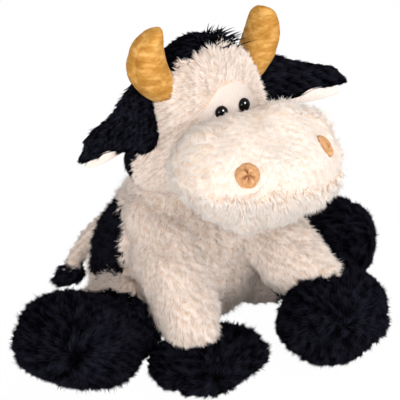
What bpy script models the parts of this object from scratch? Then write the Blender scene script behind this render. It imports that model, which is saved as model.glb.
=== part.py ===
"""A sitting plush cow: sewn fur covers over stuffing, with limbs that flex at their seams.

Metres, +Z up. The cow faces -Y and +X is its left side. The origin is the centre of
the flat seat that it sits on. Every stuffed form is one SoftForm, an oval section that
swells and tapers along an axis. A cover is a thin shell of a form, a filling is what
is left inside it, and each form is cut by the larger one that it is sewn to.
"""

from dataclasses import dataclass, field, replace
from math import acos, ceil, cos, degrees, hypot, pi, radians, sin

import bmesh
import bpy
from mathutils import Matrix, Vector

# Fabric, seams and the flat that a stuffed form rests on
FABRIC = 0.0025
SEAM_GAP = 0.0005
SEAT_FLAT = 0.0005
CUT_OVERRUN = 0.010

# Torso
TORSO_HEIGHT = 0.210
TORSO_HALF_WIDTH = 0.071
TORSO_HALF_DEPTH = 0.071
TORSO_LEAN = 0.055
TORSO_TAPER_SHARE = 0.34
TORSO_FULLNESS_SHARE = 0.45
CLOSING_SEAM_LENGTH = 0.060
CLOSING_SEAM_WIDTH = 0.0010
PELLET_BAG_HALF_WIDTH = 0.052
PELLET_BAG_HALF_HEIGHT = 0.022

# Black panels of the torso: half height, half width and how deep the cut goes
FLANK_HALF_HEIGHT = 0.043
FLANK_HALF_WIDTH = 0.040
RUMP_RADIUS = 0.020
PANEL_DEPTH = 0.014

# Head and muzzle
HEAD_HALF_WIDTH = 0.067
HEAD_HALF_DEPTH = 0.050
HEAD_HALF_HEIGHT = 0.080
HEAD_ABOVE_NECK = 0.025
HEAD_AHEAD_OF_NECK = 0.011
MUZZLE_HALF_WIDTH = 0.098
MUZZLE_HALF_DEPTH = 0.065
MUZZLE_HALF_HEIGHT = 0.056
MUZZLE_BELOW_HEAD = 0.038
MUZZLE_FORWARD_DISTANCE = 0.077
BACK_PANEL_AHEAD_OF_CROWN = 0.016
BACK_PANEL_BEHIND_NAPE = 0.010

# Eyes and nostrils
EYE_SPACING = 0.029
EYE_DIAMETER = 0.012
EYE_DOME = 0.005
EYE_STEM_DIAMETER = 0.004
EYE_STEM_LENGTH = 0.012
EYE_ABOVE_MUZZLE = 0.0010
WASHER_DIAMETER = 0.016
WASHER_THICKNESS = 0.0020
WASHER_SEAT = 0.0020
EYE_PANEL_HALF_WIDTH = 0.026
EYE_PANEL_HALF_HEIGHT = 0.021
NOSTRIL_DIAMETER = 0.023
NOSTRIL_RISE = 0.004

# Horns
HORN_LENGTH = 0.068
HORN_HALF_WIDTH = 0.0205
HORN_BOW = 0.008
HORN_ROOT = 0.010

# Ears
EAR_LENGTH = 0.112
EAR_LINING_LENGTH = 0.102
EAR_HALF_WIDTH = 0.032
EAR_CUP = 0.006
EAR_BACK_THICKNESS = 0.007
EAR_LINING_THICKNESS = 0.005
EAR_LINING_DROP = 0.008
EAR_ROOT = 0.010

# Forelegs
FORELEG_RADIUS = 0.037
FORE_HOOF_HALF_WIDTH = 0.061
FORE_HOOF_HALF_LENGTH = 0.052
FORE_HOOF_HALF_HEIGHT = 0.031
FORE_HOOF_GAP = 0.003
FORE_HOOF_AHEAD_OF_TORSO = 0.036
LEFT_HOOF_STRETCH = 0.040
LEFT_HOOF_EXTRA_HALF_HEIGHT = 0.015

# Hind legs
THIGH_RADIUS = 0.042
HIND_HOOF_HALF_WIDTH = 0.066
HIND_HOOF_HALF_LENGTH = 0.055
HIND_HOOF_HALF_HEIGHT = 0.047
HIND_HOOF_GAP = 0.008
HIND_HOOF_BEARING = 138.0
HIND_HOOF_TILT = 11.0

# Tail
TAIL_DIAMETER = 0.013
TAIL_SPREAD = 0.054
TAIL_REACH = 0.042
TAIL_BOW = 0.014
TUFT_HALF_LENGTH = 0.019
TUFT_DIAMETER = 0.026

# Ranges of the flexing seams in degrees: lowest and highest
NOD_RANGE = (-3.0, 7.0)
EAR_RANGE = (-30.0, 12.0)
FORELEG_RANGE = (-4.0, 7.0)
HINDLEG_RANGE = (-3.0, 12.0)
TAIL_RANGE = (-15.0, 15.0)
SWEEP_STEP = 11.0

# Colours, roughness
CREAM = (0.78, 0.66, 0.55), 0.9
PALE = (0.88, 0.80, 0.72), 0.8
BLACK = (0.012, 0.012, 0.016), 0.85
TAN = (0.60, 0.33, 0.12), 0.7
EYE_BLACK = (0.004, 0.004, 0.005), 0.08
FIBRE = (0.85, 0.85, 0.83), 0.95
GRANULE = (0.55, 0.60, 0.66), 0.6
CLEAR_PLASTIC = (0.70, 0.70, 0.68), 0.4

UP = Vector((0, 0, 1))
LEFT = Vector((1, 0, 0))
BACK = Vector((0, 1, 0))
SIDES = {"right": -1, "left": 1}


@dataclass
class SoftForm:
    """An oval section carried along an axis, round at both ends.

    At a share h of the axis, from -1 to 1, its half axes are wide and deep times
    (1 - h*h) ** (fullness / 2) times (1 - taper * h). The centre is moved by bow times
    (1 - h*h), and cup moves both edges of a flat form the same way, as on a leaf.
    """

    centre: Vector
    reach: Vector
    wide: Vector
    deep: Vector
    taper: float = 0.0
    fullness: float = 1.0
    bow: Vector = field(default_factory=Vector)
    cup: Vector = field(default_factory=Vector)
    sides: int = 14
    rings: int = 7

    def grown(self, distance):
        """The form with each half axis longer by a distance, or shorter by a negative one."""
        reach, wide, deep = (v * (1 + distance / v.length) for v in (self.reach, self.wide, self.deep))
        return replace(self, reach=reach, wide=wide, deep=deep)

    def turned(self, joint, angle):
        """The form turned about a joint by an angle in degrees."""
        turn = Matrix.Rotation(radians(angle), 3, joint.axis)
        vectors = {name: turn @ getattr(self, name) for name in ("reach", "wide", "deep", "bow", "cup")}
        return replace(self, centre=joint.point + turn @ (self.centre - joint.point), **vectors)

    def point(self, along, around):
        """The surface point at a share of the axis and an angle in degrees around it."""
        angle = radians(around)
        swell = (1 - along * along) ** (self.fullness / 2) * (1 - self.taper * along)
        section = self.wide * cos(angle) + self.deep * sin(angle) + self.cup * cos(angle) ** 2
        return self.centre + self.reach * along + self.bow * (1 - along * along) + section * swell

    def outward(self, along, around):
        """The surface's unit normal there, from the difference of nearby points."""
        near_share = 0.01
        rise = self.point(along + near_share, around) - self.point(along - near_share, around)
        turn = self.point(along, around + 1) - self.point(along, around - 1)
        normal = turn.cross(rise).normalized()
        outer = self.point(along, around) - self.centre
        return normal if normal.dot(outer) > 0 else -normal

    def loops(self):
        """Rings of surface points, closer together towards the ends."""
        shares = [-cos(pi * ring / self.rings) for ring in range(1, self.rings)]
        angles = [360 * side / self.sides for side in range(self.sides)]
        return [[self.point(along, around) for around in angles] for along in shares]

    def standing_at(self, place):
        """The form moved over a place, with its lowest point just under the floor to be cut flat."""
        ends = [self.centre - self.reach, self.centre + self.reach]
        lowest = min(point.z for point in sum(self.loops(), ends))
        centre = Vector((place.x, place.y, self.centre.z - lowest - SEAT_FLAT))
        return replace(self, centre=centre)

    def mesh(self):
        """The rings joined to each other and to a pole at each end."""
        shape = bmesh.new()
        first = shape.verts.new(self.centre - self.reach)
        last = shape.verts.new(self.centre + self.reach)
        loops = [[shape.verts.new(point) for point in loop] for loop in self.loops()]
        for side in range(self.sides):
            after = (side + 1) % self.sides
            shape.faces.new((first, loops[0][after], loops[0][side]))
            shape.faces.new((last, loops[-1][side], loops[-1][after]))
            for low, high in zip(loops, loops[1:]):
                shape.faces.new((low[side], low[after], high[after], high[side]))
        bmesh.ops.recalc_face_normals(shape, faces=shape.faces)
        return shape


@dataclass
class Joint:
    """A seam that flexes: an empty on its axis carries the pieces, and the range is in degrees."""

    name: str
    point: Vector
    axis: Vector
    span: tuple

    def __post_init__(self):
        self.empty = bpy.data.objects.new(self.name, None)
        self.empty.location = self.point
        bpy.context.scene.collection.objects.link(self.empty)

    def sweep(self, form):
        """The fixed form at every step of the range, as the moving piece sees it."""
        low, high = self.span
        steps = ceil((high - low) / SWEEP_STEP)
        return [form.turned(self, -(low + (high - low) * step / steps)) for step in range(steps + 1)]


def box(centre, size, turn=Matrix.Identity(3)):
    """A box of a size, turned by a matrix about its centre."""
    shape = bmesh.new()
    place = Matrix.Translation(centre) @ turn.to_4x4() @ Matrix.Diagonal((*size, 1))
    bmesh.ops.create_cube(shape, size=1, matrix=place)
    return shape


def half_space(point, outward, reach):
    """Everything beyond a plane, as far as a reach."""
    turn = outward.to_track_quat("Z", "Y").to_matrix()
    return box(point + outward.normalized() * reach, (2 * reach, 2 * reach, 2 * reach), turn)


def turned_shape(profile, point, axis, sides=12):
    """A profile of (radius, distance along the axis) points, turned about the axis."""
    turn = axis.to_track_quat("Z", "Y").to_matrix()
    shape = bmesh.new()
    loops = []
    for radius, along in profile:
        if radius:
            spots = [(radius * cos(2 * pi * k / sides), radius * sin(2 * pi * k / sides)) for k in range(sides)]
        else:
            spots = [(0, 0)]
        loops.append([shape.verts.new(point + turn @ Vector((x, y, along))) for x, y in spots])
    closed = all(radius for radius, along in profile)
    for low, high in zip(loops, loops[1:] + loops[:1] if closed else loops[1:]):
        for k in range(sides):
            corners = [low[k % len(low)], low[(k + 1) % len(low)], high[(k + 1) % len(high)], high[k % len(high)]]
            shape.faces.new(tuple(dict.fromkeys(corners)))
    bmesh.ops.recalc_face_normals(shape, faces=shape.faces)
    return shape


def finish(colour_name, colour, roughness):
    """A Principled material, made once for each finish."""
    material = bpy.data.materials.get(colour_name)
    if not material:
        material = bpy.data.materials.new(colour_name)
        material.use_nodes = True
        shader = material.node_tree.nodes["Principled BSDF"]
        shader.inputs["Base Color"].default_value = (*colour, 1)
        shader.inputs["Roughness"].default_value = roughness
        shader.inputs["Metallic"].default_value = 0
        material.diffuse_color = (*colour, 1)
    return material


def new_object(name, shape):
    """An object in the scene from a shape, which is used up."""
    mesh = bpy.data.meshes.new(name)
    shape.to_mesh(mesh)
    shape.free()
    thing = bpy.data.objects.new(name, mesh)
    bpy.context.scene.collection.objects.link(thing)
    return thing


def cutter(shape):
    """A hidden object that only cuts others. A form is meshed first."""
    mesh = shape.mesh() if isinstance(shape, SoftForm) else shape
    thing = new_object("cutter", mesh)
    thing.hide_render = True
    thing.display_type = "WIRE"
    return thing


def boolean(piece, kind, shapes):
    """One exact Boolean on a piece for each shape."""
    for shape in shapes:
        step = piece.modifiers.new(kind.lower(), "BOOLEAN")
        step.operation = kind
        step.solver = "EXACT"
        step.object = shape if isinstance(shape, bpy.types.Object) else cutter(shape)


def piece(name, shape, finish_of, joint=None, keep=(), join=(), cut=()):
    """A named piece: a shape, then what it joins, what it keeps to and what cuts it."""
    mesh = shape.mesh() if isinstance(shape, SoftForm) else shape
    thing = new_object(name, mesh)
    thing.data.shade_smooth()
    colour, roughness = finish_of
    thing.data.materials.append(finish(name + "_finish", colour, roughness))
    boolean(thing, "UNION", join)
    boolean(thing, "INTERSECT", keep)
    boolean(thing, "DIFFERENCE", cut)
    if joint:
        thing.parent = joint.empty
        thing.matrix_parent_inverse = Matrix.Translation(-joint.point)
    return thing


def cavity(form):
    """The hollow inside a form's cover."""
    return form.grown(-FABRIC)


def stuffing(form):
    """What fills a form's cover, a seam gap clear of it."""
    return form.grown(-FABRIC - SEAM_GAP)


def clear_of(form):
    """The space that a form and its seam gap take from whatever is sewn to it."""
    return form.grown(SEAM_GAP)


def mirrored(vector, side):
    """A vector given for the left side, on the side asked for."""
    return Vector((vector.x * SIDES[side], vector.y, vector.z))


def below_floor():
    """Everything below the plane that the cow sits on."""
    return half_space(Vector(), -UP, TORSO_HEIGHT * 2)


# Forms that the pieces share

torso = SoftForm(
    centre=Vector((0, -TORSO_LEAN / 2, TORSO_HEIGHT / 2 - SEAT_FLAT)),
    reach=Vector((0, -TORSO_LEAN / 2, TORSO_HEIGHT / 2)),
    wide=LEFT * TORSO_HALF_WIDTH,
    deep=BACK * TORSO_HALF_DEPTH,
    taper=TORSO_TAPER_SHARE,
    fullness=TORSO_FULLNESS_SHARE,
    sides=20,
    rings=11,
)
neck_top = torso.centre + torso.reach
head = SoftForm(
    centre=neck_top + UP * HEAD_ABOVE_NECK - BACK * HEAD_AHEAD_OF_NECK,
    reach=UP * HEAD_HALF_HEIGHT,
    wide=LEFT * HEAD_HALF_WIDTH,
    deep=BACK * HEAD_HALF_DEPTH,
    sides=22,
    rings=11,
)
muzzle = SoftForm(
    centre=head.centre - UP * MUZZLE_BELOW_HEAD - BACK * MUZZLE_FORWARD_DISTANCE,
    reach=LEFT * MUZZLE_HALF_WIDTH,
    wide=-BACK * MUZZLE_HALF_DEPTH,
    deep=UP * MUZZLE_HALF_HEIGHT,
    fullness=0.9,
    sides=18,
    rings=11,
)


def build_torso():
    """Cover, filling, pellet bag and the black panels let into the cover."""
    panels = {}
    for side, sign in SIDES.items():
        flank_around = 90 - sign * 78
        flank_along_share = -0.10
        flank_out = torso.outward(flank_along_share, flank_around)
        flank_across = flank_out.cross(UP).normalized()
        panels["flank_patch_" + side] = SoftForm(
            centre=torso.point(flank_along_share, flank_around),
            reach=flank_out.cross(flank_across) * -FLANK_HALF_HEIGHT,
            wide=flank_across * FLANK_HALF_WIDTH,
            deep=flank_out * PANEL_DEPTH,
            taper=0.35,
        )
        rump_around = 90 - sign * 32
        rump_along_share = -0.60
        rump_out = torso.outward(rump_along_share, rump_around)
        rump_across = rump_out.cross(UP).normalized()
        panels["rump_patch_" + side] = SoftForm(
            centre=torso.point(rump_along_share, rump_around),
            reach=rump_out.cross(rump_across) * RUMP_RADIUS,
            wide=rump_across * RUMP_RADIUS,
            deep=rump_out * PANEL_DEPTH,
        )
    for name, form in panels.items():
        piece(name, form, BLACK, keep=[torso], cut=[cavity(torso)])
    seam_along_share = 0.10
    seam_place = torso.point(seam_along_share, 90)
    seam_size = (CLOSING_SEAM_WIDTH, 4 * FABRIC, CLOSING_SEAM_LENGTH)
    closing_seam = box(seam_place, seam_size, Matrix.Rotation(radians(20), 3, "X"))
    skin_cuts = [cavity(torso), closing_seam, below_floor()]
    skin_cuts += [clear_of(form) for form in panels.values()]
    piece("body_skin", torso, CREAM, cut=skin_cuts)
    bag = SoftForm(
        centre=UP * (FABRIC + PELLET_BAG_HALF_HEIGHT * 0.8),
        reach=UP * PELLET_BAG_HALF_HEIGHT,
        wide=LEFT * PELLET_BAG_HALF_WIDTH,
        deep=BACK * PELLET_BAG_HALF_WIDTH,
        fullness=0.8,
    )
    piece("pellet_bag", bag, GRANULE, keep=[stuffing(torso)])
    piece("body_filling", stuffing(torso), FIBRE, cut=[clear_of(bag)])


def muzzle_top(x, y):
    """How high the muzzle's surface is above a level place."""
    along = x / MUZZLE_HALF_WIDTH
    swell = (1 - along * along) ** (muzzle.fullness / 2)
    ahead = (muzzle.centre.y - y) / (MUZZLE_HALF_DEPTH * swell)
    return muzzle.centre.z + MUZZLE_HALF_HEIGHT * swell * (1 - ahead * ahead) ** 0.5


def eye_place(side):
    """Where an eye sits on the head, just above the muzzle, and which way it looks."""
    sideways = SIDES[side] * EYE_SPACING / 2
    height = muzzle.centre.z + MUZZLE_HALF_HEIGHT
    for step in range(4):
        along = (height - head.centre.z) / HEAD_HALF_HEIGHT
        swell = (1 - along * along) ** (head.fullness / 2)
        around = -degrees(acos(sideways / (HEAD_HALF_WIDTH * swell)))
        place = head.point(along, around)
        top = muzzle_top(place.x, place.y - EYE_DOME)
        height = top + EYE_DIAMETER / 2 + EYE_ABOVE_MUZZLE
    return place, head.outward(along, around)


def build_head(nod):
    """Cover of cream, eye and back panels, muzzle, their filling, eyes and nostrils."""
    neck = nod.sweep(clear_of(torso))
    crown = head.centre + head.reach - BACK * BACK_PANEL_AHEAD_OF_CROWN
    nape = head.centre - head.reach - BACK * -BACK_PANEL_BEHIND_NAPE
    back_facing = (crown - nape).cross(LEFT).normalized()
    panel_reach = 2 * HEAD_HALF_HEIGHT
    gap = back_facing * SEAM_GAP / 2
    behind = half_space(crown + gap, back_facing, panel_reach)
    piece("head_back", head, BLACK, nod, keep=[behind], cut=[cavity(head), *neck])
    eyes = {side: eye_place(side) for side in SIDES}
    between = (eyes["right"][0] + eyes["left"][0]) / 2
    eye_panel = SoftForm(
        centre=between + UP * EYE_PANEL_HALF_HEIGHT / 8,
        reach=UP * EYE_PANEL_HALF_HEIGHT,
        wide=LEFT * EYE_PANEL_HALF_WIDTH,
        deep=BACK * PANEL_DEPTH,
    )
    stem_holes = []
    pockets = []
    for side, (place, out) in eyes.items():
        seat = place + out * SEAM_GAP
        radius = EYE_DIAMETER / 2
        stem = EYE_STEM_DIAMETER / 2
        dome = [(radius * cos(pi * k / 8), EYE_DOME * sin(pi * k / 8)) for k in range(4)]
        profile = [(0, -EYE_STEM_LENGTH), (stem, -EYE_STEM_LENGTH), (stem, 0), *dome, (0, EYE_DOME)]
        piece("eye_" + side, turned_shape(profile, seat, out), EYE_BLACK, nod)
        bore = stem + SEAM_GAP
        washer = WASHER_DIAMETER / 2
        front = -FABRIC - WASHER_SEAT
        back = front - WASHER_THICKNESS
        ring = [(bore, front), (washer, front), (washer, back), (bore, back)]
        piece("eye_washer_" + side, turned_shape(ring, place, out), CLEAR_PLASTIC, nod)
        hole = [(0, CUT_OVERRUN), (bore, CUT_OVERRUN), (bore, -CUT_OVERRUN), (0, -CUT_OVERRUN)]
        stem_holes.append(turned_shape(hole, place, out))
        deep_end = -EYE_STEM_LENGTH - SEAM_GAP
        wide_end = washer + SEAM_GAP
        pocket = [(0, CUT_OVERRUN), (wide_end, CUT_OVERRUN), (wide_end, deep_end), (0, deep_end)]
        pockets.append(turned_shape(pocket, place, out))
    front_cuts = [cavity(head), clear_of(muzzle)]
    holes = [cutter(hole) for hole in stem_holes]
    piece("eye_panel", eye_panel, PALE, nod, keep=[head], cut=[*front_cuts, *holes])
    behind_seam = half_space(crown - gap, back_facing, panel_reach)
    skin_cuts = [*front_cuts, behind_seam, clear_of(eye_panel), *holes, *neck]
    piece("head_skin", head, CREAM, nod, cut=skin_cuts)
    piece("muzzle_skin", muzzle, CREAM, nod, cut=[cavity(muzzle), cavity(head), *neck])
    filling_cuts = [*pockets, *neck]
    piece("head_filling", stuffing(head), FIBRE, nod, join=[stuffing(muzzle)], cut=filling_cuts)
    for side, sign in SIDES.items():
        along_share = 0.50 * sign
        around = 30
        out = muzzle.outward(along_share, around)
        across = out.cross(UP).normalized()
        disc = SoftForm(
            centre=muzzle.point(along_share, around),
            reach=out * NOSTRIL_RISE,
            wide=across * NOSTRIL_DIAMETER / 2,
            deep=out.cross(across) * NOSTRIL_DIAMETER / 2,
            fullness=0.6,
        )
        piece("nostril_" + side, disc, TAN, nod, cut=[clear_of(muzzle)])


def horn_form(side):
    """A fat horn that leans out from the side of the crown and curves back up."""
    along_share = 0.44
    around = 90 - SIDES[side] * 96
    root = head.point(along_share, around) - head.outward(along_share, around) * HORN_ROOT
    lean = mirrored(Vector((0.24, 0.05, 0.95)), side).normalized()
    wide = lean.cross(BACK).normalized()
    return SoftForm(
        centre=root + lean * HORN_LENGTH / 2,
        reach=lean * HORN_LENGTH / 2,
        wide=wide * HORN_HALF_WIDTH,
        deep=lean.cross(wide) * HORN_HALF_WIDTH,
        taper=0.30,
        fullness=0.6,
        bow=mirrored(LEFT, side) * HORN_BOW,
    )


def build_horns(nod):
    """The two stuffed velour horns."""
    for side in SIDES:
        piece("horn_" + side, horn_form(side), TAN, nod, cut=[clear_of(head)])


def build_ears(nod):
    """Leaves that hang out sideways: a black fur back in front and a pale lining behind it."""
    along_share = 0.34
    for side, sign in SIDES.items():
        hinge = head.point(along_share, 90 - sign * 94)
        flap = Joint("ear_joint_" + side, hinge, BACK * -sign, EAR_RANGE)
        flap.empty.parent = nod.empty
        flap.empty.matrix_parent_inverse = Matrix.Translation(-nod.point)
        out = mirrored(Vector((0.943, -0.276, -0.18)), side).normalized()
        edge = mirrored(Vector((-0.55, 0.33, 0.75)), side).normalized()
        face = out.cross(edge).normalized() * sign
        centre = hinge + out * (EAR_LENGTH / 2 - EAR_ROOT)
        back = SoftForm(
            centre=centre,
            reach=out * EAR_LENGTH / 2,
            wide=edge * EAR_HALF_WIDTH,
            deep=face * EAR_BACK_THICKNESS / 2,
            taper=0.45,
            fullness=0.8,
            cup=-face * EAR_CUP,
        )
        under = (EAR_BACK_THICKNESS + EAR_LINING_THICKNESS) / 2 + SEAM_GAP
        lining = replace(
            back,
            centre=centre - face * under - edge * EAR_LINING_DROP,
            reach=out * EAR_LINING_LENGTH / 2,
            deep=face * EAR_LINING_THICKNESS / 2,
        )
        for name, form, finish_of in (("back", back, BLACK), ("lining", lining, PALE)):
            cuts = flap.sweep(clear_of(head)) + flap.sweep(clear_of(horn_form(side)))
            if form is lining:
                cuts.append(clear_of(back))
            piece(f"ear_{name}_{side}", form, finish_of, flap, cut=cuts)


def limb(kind, side, leg, hoof, joint, sole_facing):
    """A cream leg and a black hoof with its pad, around one filling."""
    body_cuts = [cutter(form) for form in joint.sweep(clear_of(torso))]
    floor = cutter(below_floor())
    skin_cuts = [cavity(leg), clear_of(hoof), *body_cuts, floor]
    piece(f"{kind}leg_skin_{side}", leg, CREAM, joint, cut=skin_cuts)
    seam_point = hoof.centre + sole_facing * min(hoof.reach.length, hoof.deep.length) / 2
    half_gap = sole_facing * SEAM_GAP / 2
    reach = 2 * max(hoof.reach.length, hoof.deep.length, hoof.wide.length)
    sole_side = half_space(seam_point - half_gap, sole_facing, reach)
    piece(f"{kind}_hoof_{side}", hoof, BLACK, joint, cut=[cavity(hoof), cavity(leg), floor, sole_side])
    pad_side = half_space(seam_point + half_gap, sole_facing, reach)
    piece(f"{kind}_sole_{side}", hoof, BLACK, joint, keep=[pad_side], cut=[cavity(hoof), floor])
    filling = stuffing(leg)
    piece(f"{kind}leg_filling_{side}", filling, FIBRE, joint, join=[stuffing(hoof)], cut=body_cuts)


def leg_between(start, end, radius):
    """A leg's form: a round section that runs past both of its ends."""
    axis = (end - start).normalized()
    wide = axis.cross(UP).normalized()
    return SoftForm(
        centre=(start + end) / 2,
        reach=axis * ((end - start).length / 2 + radius * 0.6),
        wide=wide * radius,
        deep=axis.cross(wide) * radius,
        taper=0.06,
        fullness=0.45,
    )


def fore_hoof_form(side):
    """The right hoof lies flat. The left one is stretched further out with its toe up."""
    stretch = LEFT_HOOF_STRETCH if side == "left" else 0
    half_height = FORE_HOOF_HALF_HEIGHT + (LEFT_HOOF_EXTRA_HALF_HEIGHT if side == "left" else 0)
    ahead = TORSO_HALF_DEPTH + FORE_HOOF_AHEAD_OF_TORSO + FORE_HOOF_HALF_LENGTH + stretch
    form = SoftForm(
        centre=Vector(),
        reach=UP * half_height,
        wide=LEFT * FORE_HOOF_HALF_WIDTH,
        deep=BACK * FORE_HOOF_HALF_LENGTH,
        fullness=0.8,
    )
    return form.standing_at(mirrored(Vector((FORE_HOOF_HALF_WIDTH + FORE_HOOF_GAP / 2, -ahead, 0)), side))


def build_forelegs():
    """Forelegs that reach down and forward from the chest."""
    for side, sign in SIDES.items():
        hoof = fore_hoof_form(side)
        shoulder = torso.point(0.20, 270 + sign * 45)
        ankle = hoof.centre + UP * FORELEG_RADIUS * 0.4 + BACK * FORE_HOOF_HALF_LENGTH * 0.2
        swing = Joint("foreleg_joint_" + side, shoulder + UP * FORELEG_RADIUS / 3, -LEFT, FORELEG_RANGE)
        leg = leg_between(shoulder, ankle, FORELEG_RADIUS)
        facing = mirrored(Vector((-0.1, -0.8, -0.6)), side).normalized()
        limb("fore", side, leg, hoof, swing, facing)


def oval_radius(form, direction):
    """How far a form with level half axes reaches from its centre, in a level direction."""
    return 1 / hypot(direction.x / form.wide.length, direction.y / form.deep.length)


def build_hindlegs():
    """Short thighs that spread to the sides, with the largest hooves."""
    bearing = radians(HIND_HOOF_BEARING)
    for side in SIDES:
        fore = fore_hoof_form("right")
        direction = mirrored(Vector((-cos(bearing), sin(bearing), 0)), side)
        tilt = Matrix.Rotation(radians(-HIND_HOOF_TILT * SIDES[side]), 3, "Y")
        hoof = SoftForm(
            centre=Vector(),
            reach=tilt @ UP * HIND_HOOF_HALF_HEIGHT,
            wide=tilt @ LEFT * HIND_HOOF_HALF_WIDTH,
            deep=BACK * HIND_HOOF_HALF_LENGTH,
            fullness=0.8,
        )
        apart = oval_radius(fore, direction) + oval_radius(hoof, direction) + HIND_HOOF_GAP
        beside = mirrored(Vector((abs(fore.centre.x), fore.centre.y, 0)), side)
        hoof = hoof.standing_at(beside + direction * apart)
        hip = torso.point(-0.60, 90 - SIDES[side] * 108)
        ankle = hoof.centre - mirrored(LEFT, side) * HIND_HOOF_HALF_WIDTH / 2
        ankle.z = hip.z
        spread = Joint("hindleg_joint_" + side, hip, mirrored(LEFT, side).cross(BACK), HINDLEG_RANGE)
        leg = leg_between(hip, ankle, THIGH_RADIUS)
        leg = leg.standing_at(leg.centre)
        facing = mirrored(Vector((0.6, -0.7, 0.1)), side).normalized()
        limb("hind", side, leg, hoof, spread, facing)


def build_tail():
    """A thin cord from low on the back that curves to the right and ends in a tuft."""
    root = torso.point(-0.10, 90)
    swing = Joint("tail_joint", root, UP, TAIL_RANGE)
    end = Vector((-TAIL_SPREAD, root.y + TAIL_REACH, TUFT_DIAMETER / 2))
    along = end - root
    across = along.cross(UP).normalized()
    radius = TAIL_DIAMETER / 2
    cord = SoftForm(
        centre=(root + end) / 2,
        reach=along / 2,
        wide=across * radius,
        deep=along.cross(across).normalized() * radius,
        fullness=0.2,
        bow=(BACK + UP).normalized() * TAIL_BOW,
    )
    lie = Vector((-0.9, 0.1, -0.3)).normalized()
    tuft_across = lie.cross(UP).normalized()
    tuft = SoftForm(
        centre=end,
        reach=lie * TUFT_HALF_LENGTH,
        wide=tuft_across * TUFT_DIAMETER / 2,
        deep=lie.cross(tuft_across) * TUFT_DIAMETER / 2,
        taper=-0.1,
        fullness=0.8,
    )
    cord_cuts = [*swing.sweep(clear_of(torso)), clear_of(tuft)]
    piece("tail_cord", cord, CREAM, swing, cut=cord_cuts)
    piece("tail_tuft", tuft, BLACK, swing, cut=[below_floor()])


def main():
    for thing in list(bpy.data.objects):
        bpy.data.objects.remove(thing)
    nod = Joint("neck_joint", neck_top - UP * TORSO_HEIGHT / 8, -LEFT, NOD_RANGE)
    build_torso()
    build_head(nod)
    build_horns(nod)
    build_ears(nod)
    build_forelegs()
    build_hindlegs()
    build_tail()


main()
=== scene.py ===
from math import cos, pi, radians, sin

import bpy
import numpy as np
from mathutils import Matrix, Vector


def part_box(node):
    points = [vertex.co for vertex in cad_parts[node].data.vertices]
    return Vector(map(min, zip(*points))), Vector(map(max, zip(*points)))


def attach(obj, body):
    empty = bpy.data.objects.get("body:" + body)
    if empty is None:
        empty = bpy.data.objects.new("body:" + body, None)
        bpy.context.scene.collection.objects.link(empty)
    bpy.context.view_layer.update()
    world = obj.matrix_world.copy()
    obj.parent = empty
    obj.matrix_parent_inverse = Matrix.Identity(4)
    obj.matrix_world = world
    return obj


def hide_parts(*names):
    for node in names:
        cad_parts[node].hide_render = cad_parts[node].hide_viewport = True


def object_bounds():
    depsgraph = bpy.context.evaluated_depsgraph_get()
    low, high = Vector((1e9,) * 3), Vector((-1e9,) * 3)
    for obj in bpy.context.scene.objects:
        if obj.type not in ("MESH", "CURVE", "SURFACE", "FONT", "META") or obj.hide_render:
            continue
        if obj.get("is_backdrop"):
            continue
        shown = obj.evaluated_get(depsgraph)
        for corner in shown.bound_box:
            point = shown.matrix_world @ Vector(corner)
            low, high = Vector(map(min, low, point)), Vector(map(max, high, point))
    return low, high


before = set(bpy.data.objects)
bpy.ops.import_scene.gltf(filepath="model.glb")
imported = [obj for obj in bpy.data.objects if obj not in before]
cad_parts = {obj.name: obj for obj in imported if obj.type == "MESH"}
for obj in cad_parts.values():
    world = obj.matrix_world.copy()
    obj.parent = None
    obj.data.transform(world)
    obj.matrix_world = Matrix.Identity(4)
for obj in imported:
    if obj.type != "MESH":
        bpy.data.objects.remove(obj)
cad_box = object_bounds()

# Stuffing of the torso, with its bag of granules
# Loose polyester fibre fills the cover, and a cotton bag of plastic granules lies in the seat.
# Both are closed lumpy forms that stay just inside the covers.

FABRIC = 0.0025
FLOOR_CLEARANCE = 0.0004
STUFFING_CLEARANCE = 0.0100
FIBRE_LUMP = 0.0012
FIBRE_LUMP_SPACING = 0.022
GRANULE_LUMP = 0.0006
GRANULE_SPACING = 0.005
SHEEN_ROUGHNESS = 0.4


def soft_form(centre, reach, wide, deep, taper=0.0, fullness=1.0, bow=(0, 0, 0), cup=(0, 0, 0)):
    """A stuffed form: the half axes of an oval section, and the axis that it is carried along."""
    vectors = dict(centre=centre, reach=reach, wide=wide, deep=deep, bow=bow, cup=cup)
    form = {name: np.array(vector, float) for name, vector in vectors.items()}
    return {**form, "taper": taper, "fullness": fullness}


def form_points(form, along, around):
    """Points of a form: centre + reach h + bow (1 - h^2) + (wide cos a + deep sin a + cup cos^2 a) swell.

    h is the place along the axis, from -1 to 1, a is the angle around it in radians, and
    swell is (1 - h^2) ^ (fullness / 2) times (1 - taper h).
    """
    h, a = along[..., None], around[..., None]
    swell = (1 - h * h) ** (form["fullness"] / 2) * (1 - form["taper"] * h)
    section = form["wide"] * np.cos(a) + form["deep"] * np.sin(a) + form["cup"] * np.cos(a) ** 2
    return form["centre"] + form["reach"] * h + form["bow"] * (1 - h * h) + section * swell


def unit(vectors):
    """Vectors divided by their lengths."""
    return vectors / np.maximum(np.linalg.norm(vectors, axis=-1, keepdims=True), 1e-12)


def outward(surface, along, around):
    """Unit normals: the cross product of small steps around and along, turned away from the middle."""
    step = 2e-3
    low, high = np.clip(along - step, -0.9999, 0.9999), np.clip(along + step, -0.9999, 0.9999)
    turn = surface(along, around + step) - surface(along, around - step)
    normal = unit(np.cross(turn, surface(high, around) - surface(low, around)))
    middle = surface(np.zeros(2), np.array([0, pi])).mean(0)
    side = ((surface(along, around) - middle) * normal).sum(-1, keepdims=True)
    return normal * np.where(side < 0, -1, 1)


def form_normals(form, along, around):
    """Unit normals of a bare form."""
    return outward(lambda h, a: form_points(form, h, a), along, around)


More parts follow.
